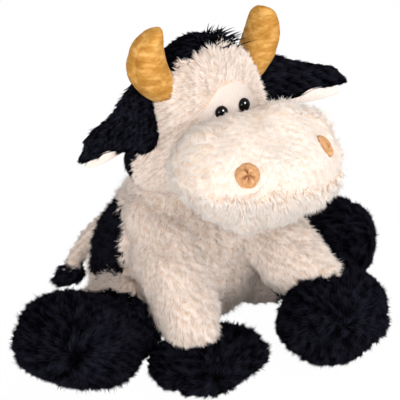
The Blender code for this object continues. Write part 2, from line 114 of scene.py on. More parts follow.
def waves(points, spacing, seed, count=12):
    """Smooth noise and its slope: a sum of sines of k.p + phase, with k in random directions."""
    random = np.random.default_rng(seed)
    stretch = random.uniform(0.6, 1.6, (count, 1))
    k = unit(random.normal(size=(count, 3))) * stretch * 2 * pi / spacing
    angle = points @ k.T + random.uniform(0, 2 * pi, count)
    share = (2 / count) ** 0.5
    return np.sin(angle).sum(-1) * share, np.cos(angle) @ k * share


def covering(form, depth, relief=None, drawn_in=None):
    """The surface of a form sunk by a depth along its normals, raised by its relief, and flat on the floor.

    The relief takes points in rows, and gives how far each of them is raised.
    """

    def surface(along, around):
        points = form_points(form, along, around)
        raised = 0 if relief is None else relief(points.reshape(-1, 3)).reshape(*along.shape, 1)
        points = points + form_normals(form, along, around) * (raised - depth)
        if drawn_in is not None:
            points = drawn_in(points)
        points[..., 2] = np.maximum(points[..., 2], FLOOR_CLEARANCE)
        return points

    return surface


def mesh_piece(name, points, corners, sizes, material):
    """An object from arrays: points, the point of each face corner, and the corners of each face."""
    mesh = bpy.data.meshes.new(name)
    mesh.vertices.add(len(points))
    mesh.vertices.foreach_set("co", points.astype(np.float32).ravel())
    mesh.loops.add(len(corners))
    mesh.loops.foreach_set("vertex_index", corners.astype(np.int32))
    mesh.polygons.add(len(sizes))
    mesh.polygons.foreach_set("loop_start", (np.cumsum(sizes) - sizes).astype(np.int32))
    mesh.update(calc_edges=True)
    mesh.shade_smooth()
    mesh.materials.append(material)
    thing = bpy.data.objects.new(name, mesh)
    bpy.context.scene.collection.objects.link(thing)
    return thing


def dress(thing, body, slot, nodes=None):
    """A piece rides on a body, and may take the place of nodes of the solids, which it hides; its slot is not
    used.
    """
    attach(thing, body)
    if nodes is not None:
        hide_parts(*nodes)
    return thing


def ring_faces(sides, rings):
    """Points of a ring, the point after each, and the quads between rings that follow each other."""
    side = np.arange(sides)
    after = (side + 1) % sides
    row = np.arange(rings - 1)[:, None] * sides
    quads = np.stack([row + side, row + after, row + after + sides, row + side + sides], -1)
    return side, after, quads.reshape(-1, 4)


def closed_skin(name, surface, material, sides=96, rings=64):
    """A surface as a grid of quads, closed by a fan of triangles at each pole, with its faces outwards."""
    along = -np.cos(pi * np.arange(1, rings) / rings)
    around = 2 * pi * np.arange(sides) / sides
    grid = surface(*np.meshgrid(along, around, indexing="ij"))
    poles = surface(np.array([-0.99999, 0.99999]), np.zeros(2))
    points = np.concatenate([grid.reshape(-1, 3), poles])
    side, after, quads = ring_faces(sides, rings - 1)
    last = (rings - 2) * sides
    first_fan = np.stack([np.full(sides, last + sides), after, side], -1)
    last_fan = np.stack([np.full(sides, last + sides + 1), last + side, last + after], -1)
    fans = np.concatenate([first_fan, last_fan])
    corner = points[quads[:, :3]]
    facing = np.cross(corner[:, 1] - corner[:, 0], corner[:, 2] - corner[:, 0])
    if (facing * (corner[:, 0] - points.mean(0))).sum() < 0:
        quads, fans = quads[:, ::-1], fans[:, ::-1]
    sizes = np.repeat([4, 3], [len(quads), len(fans)])
    return mesh_piece(name, points, np.concatenate([quads.ravel(), fans.ravel()]), sizes, material)


def add_node(tree, kind, values=()):
    """A shader node of a kind, with the values of some of its inputs."""
    node = tree.nodes.new("ShaderNode" + kind)
    for name, value in dict(values).items():
        node.inputs[name].default_value = value
    return node


def add_ramp(tree, *stops):
    """A colour ramp through two stops or more, each a place and a colour."""
    ramp = add_node(tree, "ValToRGB")
    elements = ramp.color_ramp.elements
    for number, (place, colour) in enumerate(stops):
        element = elements[number] if number < 2 else elements.new(place)
        element.position = place
        element.color = (*colour, 1)
    return ramp


def join(tree, *rows):
    """Links of a node tree: each row is a node and its output, then the next node and its input."""
    for node, output, after, entry in rows:
        tree.links.new(node.outputs[output], after.inputs[entry])


def principled(name, colour, roughness, specular=0.0, sheen=0.0):
    """A material with its node tree and shader, and the values that are the same all over."""
    material = bpy.data.materials.new(name)
    material.use_nodes = True
    shader = material.node_tree.nodes["Principled BSDF"]
    shader.inputs["Base Color"].default_value = (*colour, 1)
    shader.inputs["Roughness"].default_value = roughness
    shader.inputs["Specular IOR Level"].default_value = specular
    shader.inputs["Sheen Weight"].default_value = sheen
    shader.inputs["Sheen Roughness"].default_value = SHEEN_ROUGHNESS
    return material, material.node_tree, shader


def mottled(name, dark, light, spacing, roughness, bump):
    """Two colours mixed by noise in the piece's own coordinates, which also raises the surface."""
    material, tree, shader = principled(name, light, roughness)
    place = add_node(tree, "TexCoord")
    noise = add_node(tree, "TexNoise", {"Scale": 1 / spacing, "Detail": 4})
    ramp = add_ramp(tree, (0.35, dark), (0.65, light))
    relief = add_node(tree, "Bump", {"Distance": bump})
    join(
        tree,
        (place, "Object", noise, "Vector"),
        (noise, "Fac", ramp, "Fac"),
        (ramp, "Color", shader, "Base Color"),
        (noise, "Fac", relief, "Height"),
        (relief, "Normal", shader, "Normal"),
    )
    return material


TORSO_HEIGHT = 0.210
TORSO_RADIUS = 0.071
TORSO_LEAN = 0.055
SEAT_FLAT = 0.0005
torso = soft_form(
    centre=(0, -TORSO_LEAN / 2, TORSO_HEIGHT / 2 - SEAT_FLAT),
    reach=(0, -TORSO_LEAN / 2, TORSO_HEIGHT / 2),
    wide=(TORSO_RADIUS, 0, 0),
    deep=(0, TORSO_RADIUS, 0),
    taper=0.34,
    fullness=0.45,
)
bag_low, bag_high = (np.array(corner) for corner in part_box("pellet_bag"))
granule_bag = soft_form(
    centre=(bag_low + bag_high) / 2,
    reach=(bag_high - bag_low) / 2 * [0, 0, 1],
    wide=(bag_high - bag_low) / 2 * [1, 0, 0],
    deep=(bag_high - bag_low) / 2 * [0, 1, 0],
    fullness=0.8,
)
fibre = mottled("polyester_fibre", (0.62, 0.62, 0.60), (0.86, 0.86, 0.84), 0.004, 0.95, 0.001)
cotton = mottled("granule_cotton", (0.60, 0.60, 0.56), (0.80, 0.79, 0.75), 0.002, 0.9, 0.0004)


def soft_dents(depth, spacing, seed):
    """A relief of soft dents, as in a stuffed cover: smooth noise times a depth."""
    return lambda points: depth * waves(points, spacing, seed)[0]


def fibre_filling(name, form, nodes, body, seed, drawn_in=None):
    """Loose fibre that fills a form: the form sunk past its cover, with soft lumps."""
    lumps = soft_dents(FIBRE_LUMP, FIBRE_LUMP_SPACING, seed)
    surface = covering(form, FABRIC + STUFFING_CLEARANCE, lumps, drawn_in)
    dress(closed_skin(name, surface, fibre, sides=40, rings=28), body, "fibre_filling", nodes)


fibre_filling("body_fibre", torso, ["body_filling"], "torso", 1)
bag_surface = covering(granule_bag, 0.002, soft_dents(GRANULE_LUMP, GRANULE_SPACING, 2))
bag = closed_skin("granule_bag", bag_surface, cotton, sides=64, rings=36)
dress(bag, "torso", "pellet_cotton", ["pellet_bag"])

# Cover of the torso
# The cover is sewn from long-pile plush: a backing cloth with the pile standing in it, combed downwards.
# Black panels are let in at the flanks and on the rump, and the toy sits on the flat of the seat.

PILE_ROOT = 0.0022
# Each root colour is darker than its tip: painted shade deep in the pile, where the strands shadow each
# other.
CREAM_SHADED_ROOT, CREAM_TIP = (0.71, 0.48, 0.32), (1.0, 0.87, 0.785)
PALE_SHADED_ROOT, PALE_TIP = (0.84, 0.63, 0.47), (0.96, 0.865, 0.795)
BLACK_SHADED_ROOT, BLACK_TIP = (0.0006, 0.0006, 0.0008), (0.0045, 0.0045, 0.0070)
FLANK_HALF_HEIGHT, FLANK_HALF_WIDTH = 0.044, 0.038
RUMP_RADIUS = 0.020
TURN_STEP = 0.7548776662
PANEL_EDGE = 0.0015
PANEL_EDGE_SPACING = 0.012
HIP = dict(fuller=0.0095, reach=0.055, place=(0.060, 0.025, 0.088))
BELLY = dict(fuller=0.017, reach=0.050, place=(0.035, -0.085, 0.070))
NECK = dict(fuller=-0.006, reach=0.035, place=(0.050, 0.000, 0.165))
FILLET = 0.006
FILLET_REACH = 0.016


def plush(name, root, tip, dimmest, brightest, sheen):
    """Pile that goes from its root colour, darkened as painted shade deep in the pile, to its tip colour
    along each
    strand, some strands lighter: each strand's shade in u scales its colour between dimmest and brightest.

    The UV map holds each strand's own shade in u and the place along it in v.
    """
    material, tree, shader = principled(name, tip, 0.85, sheen=sheen)
    place = add_node(tree, "UVMap")
    place.uv_map = "OFBake"
    split = add_node(tree, "SeparateXYZ")
    ramp = add_ramp(tree, (0.05, root), (0.62, tip))
    shade = add_node(tree, "MapRange", {"To Min": dimmest, "To Max": brightest})
    vary = add_node(tree, "HueSaturation")
    join(
        tree,
        (place, "UV", split, "Vector"),
        (split, "Y", ramp, "Fac"),
        (split, "X", shade, "Value"),
        (shade, "Result", vary, "Value"),
        (ramp, "Color", vary, "Color"),
        (vary, "Color", shader, "Base Color"),
    )
    return material


def scattered(surface, per_area, seed, cells=160):
    """Places spread evenly over a surface: evenly spaced shares of the running sum of cell areas.

    The share along the axis is the place in the row, and the share around it steps by 0.7549 of a turn.
    """
    along = np.linspace(-0.9995, 0.9995, cells + 1)
    around = np.linspace(0, 2 * pi, cells + 1)
    grid = surface(*np.meshgrid(along, around, indexing="ij"))
    across = np.cross(grid[1:, 1:] - grid[:-1, :-1], grid[1:, :-1] - grid[:-1, 1:])
    area = np.linalg.norm(across, axis=-1) / 2
    random = np.random.default_rng(seed)
    count = int(area.sum() * per_area)
    place = np.arange(count)
    share = (place + random.random(count)) / count
    turn = (place * TURN_STEP + 0.35 * random.random(count)) % 1
    rows = np.concatenate([[0], np.cumsum(area.sum(1))]) / area.sum()
    row = np.clip(np.searchsorted(rows, share, side="right") - 1, 0, cells - 1)
    within = np.concatenate([np.zeros((cells, 1)), np.cumsum(area, 1)], 1) / area.sum(1)[:, None]
    stacked = (within + 2 * np.arange(cells)[:, None]).ravel()
    angle = np.interp(turn + 2 * row, stacked, np.tile(around, cells))
    return np.interp(share, rows, along), angle, random


def place_in(form, points):
    """Where points are on the three axes of a form, once its bow is taken off."""
    axes = np.stack([form["reach"], form["wide"], form["deep"]], 1)
    local = points - form["centre"]
    h = np.clip(np.linalg.solve(axes, local.T)[0], -1, 1)
    return np.linalg.solve(axes, (local - form["bow"] * (1 - h * h)[:, None]).T)


def fillet(forms, points):
    """How far a cover is drawn out where it is sewn to other forms: a Gaussian of the distance past them."""
    rise = np.zeros(len(points))
    for form in forms:
        h, u, v = place_in(form, points)
        across = np.hypot(u, v) / (1 - form["taper"] * np.clip(h, -1, 1))
        size = (across ** (2 / form["fullness"]) + h * h) ** (form["fullness"] / 2)
        past = np.clip(size - 1, 0, 10) * np.linalg.norm(form["wide"])
        rise = np.maximum(rise, FILLET * np.exp(-(past / FILLET_REACH) ** 2))
    return rise


def fuller_near(points, *bulges):
    """How much fuller a cover is near places on both of its sides: Gaussians of the distance to each."""
    both = np.abs(points[:, :1]) * [1, 0, 0] + points * [0, 1, 1]
    apart = [np.linalg.norm(both - bulge["place"], axis=1) / bulge["reach"] for bulge in bulges]
    return sum(bulge["fuller"] * np.exp(-share ** 2) for bulge, share in zip(bulges, apart))


def inside(form, points, margin):
    """Which points lie in a form by more than a margin."""
    h, u, v = place_in(form, points)
    inner = np.clip(h, -1, 1)
    swell = (1 - inner * inner) ** (form["fullness"] / 2) * (1 - form["taper"] * inner)
    deep_enough = np.hypot(u, v) < swell - margin / np.linalg.norm(form["wide"])
    return deep_enough & (np.abs(h) < 1 - margin / np.linalg.norm(form["reach"]))


def away_from(centre, fall):
    """A way to comb pile: away from a point, and down by a share."""
    return lambda roots: unit(roots - np.array(centre, float)) - np.array([0, 0, fall])


def one_way(way):
    """A way to comb pile: all of it one way."""
    return lambda roots: np.tile(way, (len(roots), 1))


def three_spokes(aims, random):
    """Three unit vectors square to each aim, a third of a turn apart, the first of them at random."""
    side = unit(np.cross(aims, random.normal(size=aims.shape)))
    other = np.cross(aims, side)
    return np.stack([side * cos(2 * pi * k / 3) + other * sin(2 * pi * k / 3) for k in range(3)], 1)


def map_strands(strands, corners, shades, places):
    """The UV map that plush reads: each point's shade in u, and its place along the strand in v."""
    uv = np.stack([shades, places], 1)[corners]
    strands.data.uv_layers.new(name="OFBake").uv.foreach_set("vector", uv.astype(np.float32).ravel())


def pile(name, surface, comb, material, seed, length=0.0082, lean=0.70, width=0.0010, per_area=1.4e6,
         clump=0.65, clump_spacing=0.008, ruffle=0.10, own=0.35, only=None, hidden=()):
    """Strands of pile, each a straight spike with three sides.

    A strand leaves its root along normal (1 - lean) + comb lean, plus a clump share that leans it along
    the slope of smooth noise, plus a random ruffle. Its shading normal is the cloth's, but for its own share.
    """
    along, around, random = scattered(surface, per_area, seed)
    roots = surface(along, around)
    keep = roots[:, 2] > FLOOR_CLEARANCE + 1e-5
    if only is not None:
        keep &= only(roots)
    for form, margin in hidden:
        keep &= ~inside(form, roots, margin)
    roots = roots[keep]
    normal = outward(surface, along[keep], around[keep])
    count = len(roots)
    nap = comb(roots)
    nap = unit(nap - (nap * normal).sum(1, keepdims=True) * normal)
    height, slope = waves(roots, clump_spacing, seed + 100)
    slope = slope - (slope * normal).sum(1, keepdims=True) * normal
    steepness = np.linalg.norm(slope, axis=1, keepdims=True)
    slope = slope / (steepness + np.median(steepness))
    aim = unit(normal * (1 - lean) + nap * lean + slope * clump + random.normal(size=(count, 3)) * ruffle)
    reach = length(roots) if callable(length) else length
    reach = reach * random.uniform(0.72, 1.18, count) * (1 + 0.18 * height)
    tips = roots + aim * reach[:, None]
    tips[:, 2] = np.maximum(tips[:, 2], FLOOR_CLEARANCE)
    foot = three_spokes(aim, random)
    half = width * random.uniform(0.6, 1.4, (count, 1, 1)) / 2
    points = np.concatenate([roots[:, None] + half * foot, tips[:, None]], 1)
    shading = np.concatenate([foot, aim[:, None]], 1) * own + normal[:, None] * (1 - own)
    faces = np.array([0, 1, 3, 1, 2, 3, 2, 0, 3])
    corners = (faces + 4 * np.arange(count)[:, None]).ravel()
    fur = mesh_piece(name, points.reshape(-1, 3), corners, np.full(3 * count, 3), material)
    fur.data.normals_split_custom_set_from_vertices(unit(shading).reshape(-1, 3))
    # Each strand's shade: random tone and a broad drift in tone, plus painted light and shade, lighter on the
    # taller clumps and darker on the lower ones.
    tone_and_clump_shade = 0.20 * random.normal(size=count) + 0.20 * height + 0.08 * waves(roots, 0.03, seed + 200)[0]
    map_strands(fur, corners, np.repeat(np.clip(0.5 + tone_and_clump_shade, 0, 1), 4), np.tile([0, 0, 0, 1.0], count))
    return fur


def panel_reader(form, along, around, half_height, half_width, taper):
    """A test for points in a rounded panel of a form, whose edge wanders a little."""
    place, angle = np.array([along]), np.array([radians(around)])
    centre = form_points(form, place, angle)[0]
    out = form_normals(form, place, angle)[0]
    across = unit(np.cross(out, [0, 0, 1]))
    up = np.cross(across, out)

    def within(points):
        edge = 1 + PANEL_EDGE / half_width * waves(points, PANEL_EDGE_SPACING, 7)[0]
        s = (points - centre) @ up / half_height / edge
        t = (points - centre) @ across / half_width / edge
        swell = np.clip(1 - s ** 4, 0, 1) ** 0.4 * (1 - taper * s)
        return (np.abs(t) < swell) & ((points - centre) @ out > -2 * half_width)

    return within


SIDES = {"right": -1, "left": 1}
flanks = {side: panel_reader(torso, -0.055, 90 - 73.5 * sign, FLANK_HALF_HEIGHT, FLANK_HALF_WIDTH, 0.15)
          for side, sign in SIDES.items()}
rumps = {side: panel_reader(torso, -0.60, 90 - 32 * sign, RUMP_RADIUS, RUMP_RADIUS, 0)
         for side, sign in SIDES.items()}


def on_flank(points):
    """Whether points lie in one of the four black panels of the torso."""
    return np.any([within(points) for within in [*flanks.values(), *rumps.values()]], axis=0)


def knit_backing(name, cream, black):
    """Knitted backing cloth: fine loops as noise, and black where the mesh says it is a black panel."""
    material, tree, shader = principled(name, cream, 0.95)
    place = add_node(tree, "TexCoord")
    loops = add_node(tree, "TexNoise", {"Scale": 1200})
    shade = add_node(tree, "MapRange", {"To Min": 0.7, "To Max": 1.1})
    panel = add_node(tree, "Attribute")
    panel.attribute_name = "black_panel"
    colour = add_node(tree, "Mix")
    colour.data_type = "RGBA"
    colour.inputs["A"].default_value = (*cream, 1)
    colour.inputs["B"].default_value = (*black, 1)
    vary = add_node(tree, "HueSaturation")
    join(
        tree,
        (place, "Object", loops, "Vector"),
        (loops, "Fac", shade, "Value"),
        (panel, "Fac", colour, "Factor"),
        (colour, "Result", vary, "Color"),
        (shade, "Result", vary, "Value"),
        (vary, "Color", shader, "Base Color"),
    )
    return material


# The cream of the backing is darker than the pile's tips: painted shade where the cloth shows between the
# strands.
backing = knit_backing("knit_backing", (0.86, 0.69, 0.55), (0.002, 0.002, 0.0025))
cream_plush = plush("cream_plush", CREAM_SHADED_ROOT, CREAM_TIP, 0.76, 1.08, 0.05)
pale_plush = plush("pale_plush", PALE_SHADED_ROOT, PALE_TIP, 0.86, 1.05, 0.05)
# Black pile: strands from a tenth to four times the colour, the lightest of them painted highlights on the
# tufts.
black_plush = plush("black_plush", BLACK_SHADED_ROOT, BLACK_TIP, 0.1, 4.0, 0.0)


def cover(name, surface, nodes, body, slot, black=None, sides=96, rings=64):
    """A sewn cover: the closed backing cloth of a stuffed piece, marked where a panel of it is black."""
    cloth = closed_skin(name, surface, backing, sides, rings)
    points = np.empty(3 * len(cloth.data.vertices), np.float32)
    cloth.data.vertices.foreach_get("co", points)
    points = points.reshape(-1, 3)
    panel = np.zeros(len(points)) if black is None else black(points)
    layer = cloth.data.attributes.new("black_panel", "FLOAT", "POINT")
    layer.data.foreach_set("value", panel.astype(np.float32))
    return dress(cloth, body, slot, nodes)


def fur(name, body, slot, *args, nodes=None, **settings):
    """Pile that rides on a body."""
    return dress(pile(name, *args, **settings), body, slot, nodes)


def everywhere(points):
    """A panel that is the whole piece."""
    return np.ones(len(points), bool)


HEAD_RADII = np.array([0.067, 0.050, 0.080])
HEAD_CENTRE = np.array([0, -0.066, 0.2345])
head = soft_form(
    centre=HEAD_CENTRE,
    reach=(0, 0, HEAD_RADII[2]),
    wide=(HEAD_RADII[0], 0, 0),
    deep=(0, HEAD_RADII[1], 0),
)
MUZZLE_RADII = np.array([0.098, 0.065, 0.056])
MUZZLE_CENTRE = np.array([0, -0.143, 0.1965])
muzzle = soft_form(
    centre=MUZZLE_CENTRE,
    reach=(MUZZLE_RADII[0], 0, 0),
    wide=(0, -MUZZLE_RADII[1], 0),
    deep=(0, 0, MUZZLE_RADII[2]),
    fullness=0.9,
)


def form_point(form, along, degrees):
    """One point of a form."""
    return form_points(form, np.array([along]), np.array([radians(degrees)]))[0]


def leg_form(start, end, radius):
    """A leg: a round section that runs past both of its ends by six tenths of its radius."""
    axis = unit(end - start)
    wide = unit(np.cross(axis, [0, 0, 1]))
    reach = axis * (np.linalg.norm(end - start) / 2 + radius * 0.6)
    deep = np.cross(axis, wide) * radius
    return soft_form((start + end) / 2, reach, wide * radius, deep, taper=0.06, fullness=0.45)


def standing(form, x, y):
    """A form moved over a place, with its lowest point just under the floor."""
    around = np.linspace(0, 2 * pi, 73)
    grid = form_points(form, *np.meshgrid(np.linspace(-1, 1, 73), around, indexing="ij"))
    height = form["centre"][2] - grid[..., 2].min() - SEAT_FLAT
    return {**form, "centre": np.array([x, y, height])}


FORELEG_RADIUS = 0.037
FORELEG_COVER_RADIUS = 0.0325
SHOULDERS_MOVED = {"right": (-0.0010, 0.0328, 0.0078), "left": (0, 0, 0)}
ANKLES_MOVED = {"right": (-0.0047, 0.0085, 0.0083), "left": (-0.0010, 0.0030, 0.0040)}
FORE_HOOF = dict(half_width=0.0610, half_length=0.046)
FORE_HOOF_HALF_HEIGHTS = {"right": 0.0215, "left": 0.044}
FORE_HOOF_PLACES = {"right": (-0.0575, -0.1515), "left": (0.0660, -0.1935)}
fore_hooves, forelegs, foreleg_covers = {}, {}, {}
for side, sign in SIDES.items():
    hoof = soft_form(
        centre=(0, 0, 0),
        reach=(0, 0, FORE_HOOF_HALF_HEIGHTS[side]),
        wide=(FORE_HOOF["half_width"], 0, 0),
        deep=(0, FORE_HOOF["half_length"], 0),
        fullness=0.8,
    )
    fore_hooves[side] = standing(hoof, *FORE_HOOF_PLACES[side])
    shoulder = form_point(torso, 0.20, 270 + 45 * sign)
    ankle = fore_hooves[side]["centre"] + [0, 0.2 * FORE_HOOF["half_length"], 0.4 * FORELEG_RADIUS]
    forelegs[side] = leg_form(shoulder, ankle, FORELEG_RADIUS)
    ends = shoulder + SHOULDERS_MOVED[side], ankle + ANKLES_MOVED[side]
    foreleg_covers[side] = {**leg_form(*ends, FORELEG_COVER_RADIUS), "taper": -0.04, "fullness": 0.7}

THIGH_RADIUS = 0.042
HIND_HOOF_RADII = np.array([0.066, 0.055, 0.0425])
HIND_HOOF_TILT = radians(20)
HIND_HOOF_PLACE = (0.1580, -0.0810)
hind_hooves, thighs, thigh_covers = {}, {}, {}
for side, sign in SIDES.items():
    hoof = soft_form(
        centre=(0, 0, 0),
        reach=(-sign * sin(HIND_HOOF_TILT) * HIND_HOOF_RADII[2], 0, cos(HIND_HOOF_TILT) * HIND_HOOF_RADII[2]),
        wide=(cos(HIND_HOOF_TILT) * HIND_HOOF_RADII[0], 0, sign * sin(HIND_HOOF_TILT) * HIND_HOOF_RADII[0]),
        deep=(0, HIND_HOOF_RADII[1], 0),
        fullness=0.8,
    )
    hind_hooves[side] = standing(hoof, sign * HIND_HOOF_PLACE[0], HIND_HOOF_PLACE[1])
    hip = form_point(torso, -0.60, 90 - 108 * sign)
    ankle = hind_hooves[side]["centre"] * [1, 1, 0] + [-sign * HIND_HOOF_RADII[0] / 2, 0, hip[2]]
    thigh = leg_form(hip, ankle, THIGH_RADIUS)
    thighs[side] = standing(thigh, *thigh["centre"][:2])
    thigh_covers[side] = {**thighs[side], "deep": thighs[side]["deep"] * 0.9, "fullness": 0.8}
    thigh_covers[side] = standing(thigh_covers[side], *thigh["centre"][:2])


def torso_relief(points):
    """Soft dents, the fullness of the belly and behind each hip, and the fillets at the legs."""
    sewn = fillet([*foreleg_covers.values(), *thigh_covers.values()], points)
    return 0.0014 * waves(points, 0.055, 11)[0] + fuller_near(points, HIP, BELLY, NECK) + sewn


torso_surface = covering(torso, PILE_ROOT, torso_relief)
cover("torso_cover", torso_surface, ["body_skin"], "torso", "cream_fur", on_flank)
JOINT_OVERLAP = 0.009
sewn_on = [head, muzzle, *foreleg_covers.values(), *thigh_covers.values()]
sewn_to_torso = [(form, JOINT_OVERLAP) for form in sewn_on]
torso_nap = away_from((0, -0.085, 0.235), 0.25)
for side, sign in SIDES.items():
    fur(
        f"torso_fur_{side}", "torso", "cream_fur", torso_surface, torso_nap, cream_plush, 20 + sign,
        only=lambda points: (points[:, 0] * sign > 0) & ~on_flank(points), hidden=sewn_to_torso, clump=1.05,
        clump_spacing=0.010,
    )
    for name, panel in (("flank", flanks[side]), ("rump", rumps[side])):
        fur(
            f"{name}_fur_{side}", "torso", "black_fur", torso_surface, torso_nap, black_plush, 30 + sign,
            only=panel, hidden=sewn_to_torso, per_area=1.2e6, own=0.6, nodes=[f"{name}_patch_{side}"],
        )

# Cover and back of the head
# One stuffed form carries a cream cover in front, and a black panel over the crown and down the nape.
# The longest pile of the black panel stands up at the crown as a forelock.

CROWN_EDGE_Y, CROWN_EDGE_Z, CROWN_EDGE_SLOPE, CROWN_EDGE_CURVE = -0.090, 0.3145, 0.33, 0.8
EYE_PANEL_CENTRE = np.array([-0.001, 0.2405])
EYE_PANEL_RADII = np.array([0.0375, 0.0400])
EYE_PANEL_OVERLAP = 0.0070
NAPE = dict(fuller=0.026, reach=0.034, place=(0.050, -0.040, 0.188))
HORN_RADIUS, HORN_TILT_SLOPE = 0.0180, 0.309
FORELOCK_STRANDS = 130
FORELOCK_LENGTH = 0.018


def behind_crown(points):
    """Whether points are in the black panel, behind a plane that leans back towards the nape."""
    x, y, z = points.T
    edge = CROWN_EDGE_Y + CROWN_EDGE_SLOPE * (CROWN_EDGE_Z - z) - CROWN_EDGE_CURVE * x ** 2
    return y > edge + PANEL_EDGE * waves(points, PANEL_EDGE_SPACING, 8)[0]


def in_eye_panel(points):
    """Whether points are in what shows of the arched eye panel, as seen from the front."""
    share = (points[:, [0, 2]] - EYE_PANEL_CENTRE) / (EYE_PANEL_RADII - EYE_PANEL_OVERLAP)
    return ((share ** 2).sum(1) < 1) & (points[:, 1] < HEAD_CENTRE[1])


horn_forms = {side: soft_form(
    centre=(sign * 0.0560, -0.0777, 0.2962),
    reach=(sign * 0.0103, -0.0020, 0.0353),
    wide=(HORN_RADIUS, 0, -HORN_RADIUS * sign * HORN_TILT_SLOPE),
    deep=(0, HORN_RADIUS, 0),
    taper=0.06,
    fullness=0.60,
    bow=(sign * 0.0126, 0.0058, 0),
) for side, sign in SIDES.items()}
in_head = [(torso, JOINT_OVERLAP), (muzzle, 0.004)] + [(form, 0.002) for form in horn_forms.values()]


def head_relief(points):
    """Soft dents, and the fullness of the nape low on each side."""
    return 0.0010 * waves(points, 0.045, 12)[0] + fuller_near(points, NAPE)


head_surface = covering(head, PILE_ROOT, head_relief)
cover("head_cover", head_surface, ["head_skin"], "head", "cream_fur", behind_crown)
fur(
    "head_fur", "head", "cream_fur", head_surface, away_from((0, -0.125, 0.262), 0.1), cream_plush, 41,
    only=lambda points: ~behind_crown(points) & ~in_eye_panel(points), hidden=in_head, length=0.0072,
    lean=0.75, clump=0.40, clump_spacing=0.006, ruffle=0.12, own=0.2,
)
fur(
    "nape_fur", "head", "black_fur", head_surface, away_from((0, -0.100, 0.318), 0.5), black_plush, 42,
    only=behind_crown, hidden=in_head, per_area=1.1e6, length=0.0065, lean=0.85, clump=0.4, own=0.6,
    nodes=["head_back"],
)


def long_strands(name, material, slot, roots, aims, droop, length, width, seed, steps=4):
    """Long strands that curve: root + length (aim t + droop t^2), as spikes that narrow with t."""
    random = np.random.default_rng(seed)
    count = len(roots)
    t = np.linspace(0, 1, steps + 1)[:, None]
    line = roots[:, None] + length[:, None, None] * (aims[:, None] * t + droop[:, None] * t * t)
    thin = width / 2 * (1 - t[:-1] ** 2)
    rings = line[:, :-1, None] + three_spokes(aims, random)[:, None] * thin[:, :, None]
    points = np.concatenate([rings.reshape(count, -1, 3), line[:, -1:]], 1)
    k, after, quads = ring_faces(3, steps)
    last = 3 * (steps - 1)
    per_strand = last + 4
    tip = np.stack([last + k, last + after, np.full(3, per_strand - 1)], -1)
    corners = np.concatenate([quads.ravel(), tip.ravel()]) + per_strand * np.arange(count)[:, None]
    sizes = np.tile(np.repeat([4, 3], [last, 3]), count)
    strands = mesh_piece(name, points.reshape(-1, 3), corners.ravel(), sizes, material)
    place = np.tile([*np.repeat(t[:-1, 0], 3), 1.0], count)
    map_strands(strands, corners.ravel(), np.repeat(random.random(count), per_strand), place)
    dress(strands, "head", slot)


random = np.random.default_rng(43)
spread = random.normal(size=(FORELOCK_STRANDS, 2)) * [0.010, 0.005]
root_x = np.clip(0.004 + spread[:, 0], -0.018, 0.026)
root_y = -0.078 + spread[:, 1]
level = 1 - (root_x / HEAD_RADII[0]) ** 2 - ((root_y - HEAD_CENTRE[1]) / HEAD_RADII[1]) ** 2
roots = np.stack([root_x, root_y, HEAD_CENTRE[2] + HEAD_RADII[2] * np.sqrt(level) - PILE_ROOT], 1)
fan = (root_x - 0.006) / 0.02 + random.normal(size=FORELOCK_STRANDS) * 0.6
forward = -0.35 + 0.3 * random.normal(size=FORELOCK_STRANDS)
aims = unit(np.stack([fan, forward, np.full(FORELOCK_STRANDS, 0.75)], 1))
droop = np.stack([0.25 * fan, *np.full((2, FORELOCK_STRANDS), -0.15)], 1)
lengths = FORELOCK_LENGTH * random.uniform(0.45, 1.0, FORELOCK_STRANDS)
long_strands("forelock", black_plush, "black_fur", roots, aims, droop, lengths, 0.0016, 44)

# Stuffing of the head and muzzle
# One filling runs from the skull into the muzzle, here as two lumpy forms that meet inside.

fibre_filling("head_fibre", head, ["head_filling"], "head", 3)
MUZZLE_BACK_SHARE = 0.82
JAW_FACING = np.array([0.711, 0.186, -0.677])
JAW_LIMIT = -0.098
JAW_SOFTNESS = 0.012


def muzzle_drawn_in(points):
    """The muzzle is shallower behind its middle, and under each cheek it is drawn in to a soft flat.

    What is past the flat's plane is moved back by softness log(1 + e^(distance / softness)).
    """
    behind = np.maximum(points[..., 1] - MUZZLE_CENTRE[1], 0)
    points = points - behind[..., None] * [0, 1 - MUZZLE_BACK_SHARE, 0]
    for sign in SIDES.values():
        facing = unit(JAW_FACING * [sign, 1, 1])
        past = (points @ facing - JAW_LIMIT) / JAW_SOFTNESS
        points = points - (JAW_SOFTNESS * np.logaddexp(0, past))[..., None] * facing
    return points


fibre_filling("muzzle_fibre", muzzle, [], "head", 4, muzzle_drawn_in)

# Muzzle
# A wide cushion sewn on under the eyes. Its front panel is short smooth pile, drawn in along its seam,
# and the side and chin panels are longer pile, which hangs over the front panel's lower edge as a fringe.

SEAM_DEPTH = 0.0008
SEAM_WIDTH, SEAM_FADE = 0.0045, 0.004
SIDE_SEAM_TOP, LOW_SEAM_SHARE = 0.040, 0.6
MUZZLE_EDGE_SHARE, MUZZLE_EDGE_BEND_SHARE, MUZZLE_CORNER_SHARE = 0.78, 0.12, 0.45
LOWER_SEAM_DROP, LOWER_SEAM_SLOPE = 0.0045, -0.16
CHIN_DRAWN_IN = 0.009
BRIDGE = dict(fuller=0.0075, reach=0.030, place=(0.062, -0.130, 0.238))
BROW = dict(fuller=0.0040, reach=0.030, place=(0.024, -0.132, 0.248))
CHIN_FUR_LENGTH = 0.0090
FRINGE_STRANDS = 3200
FRINGE_LENGTH = 0.010


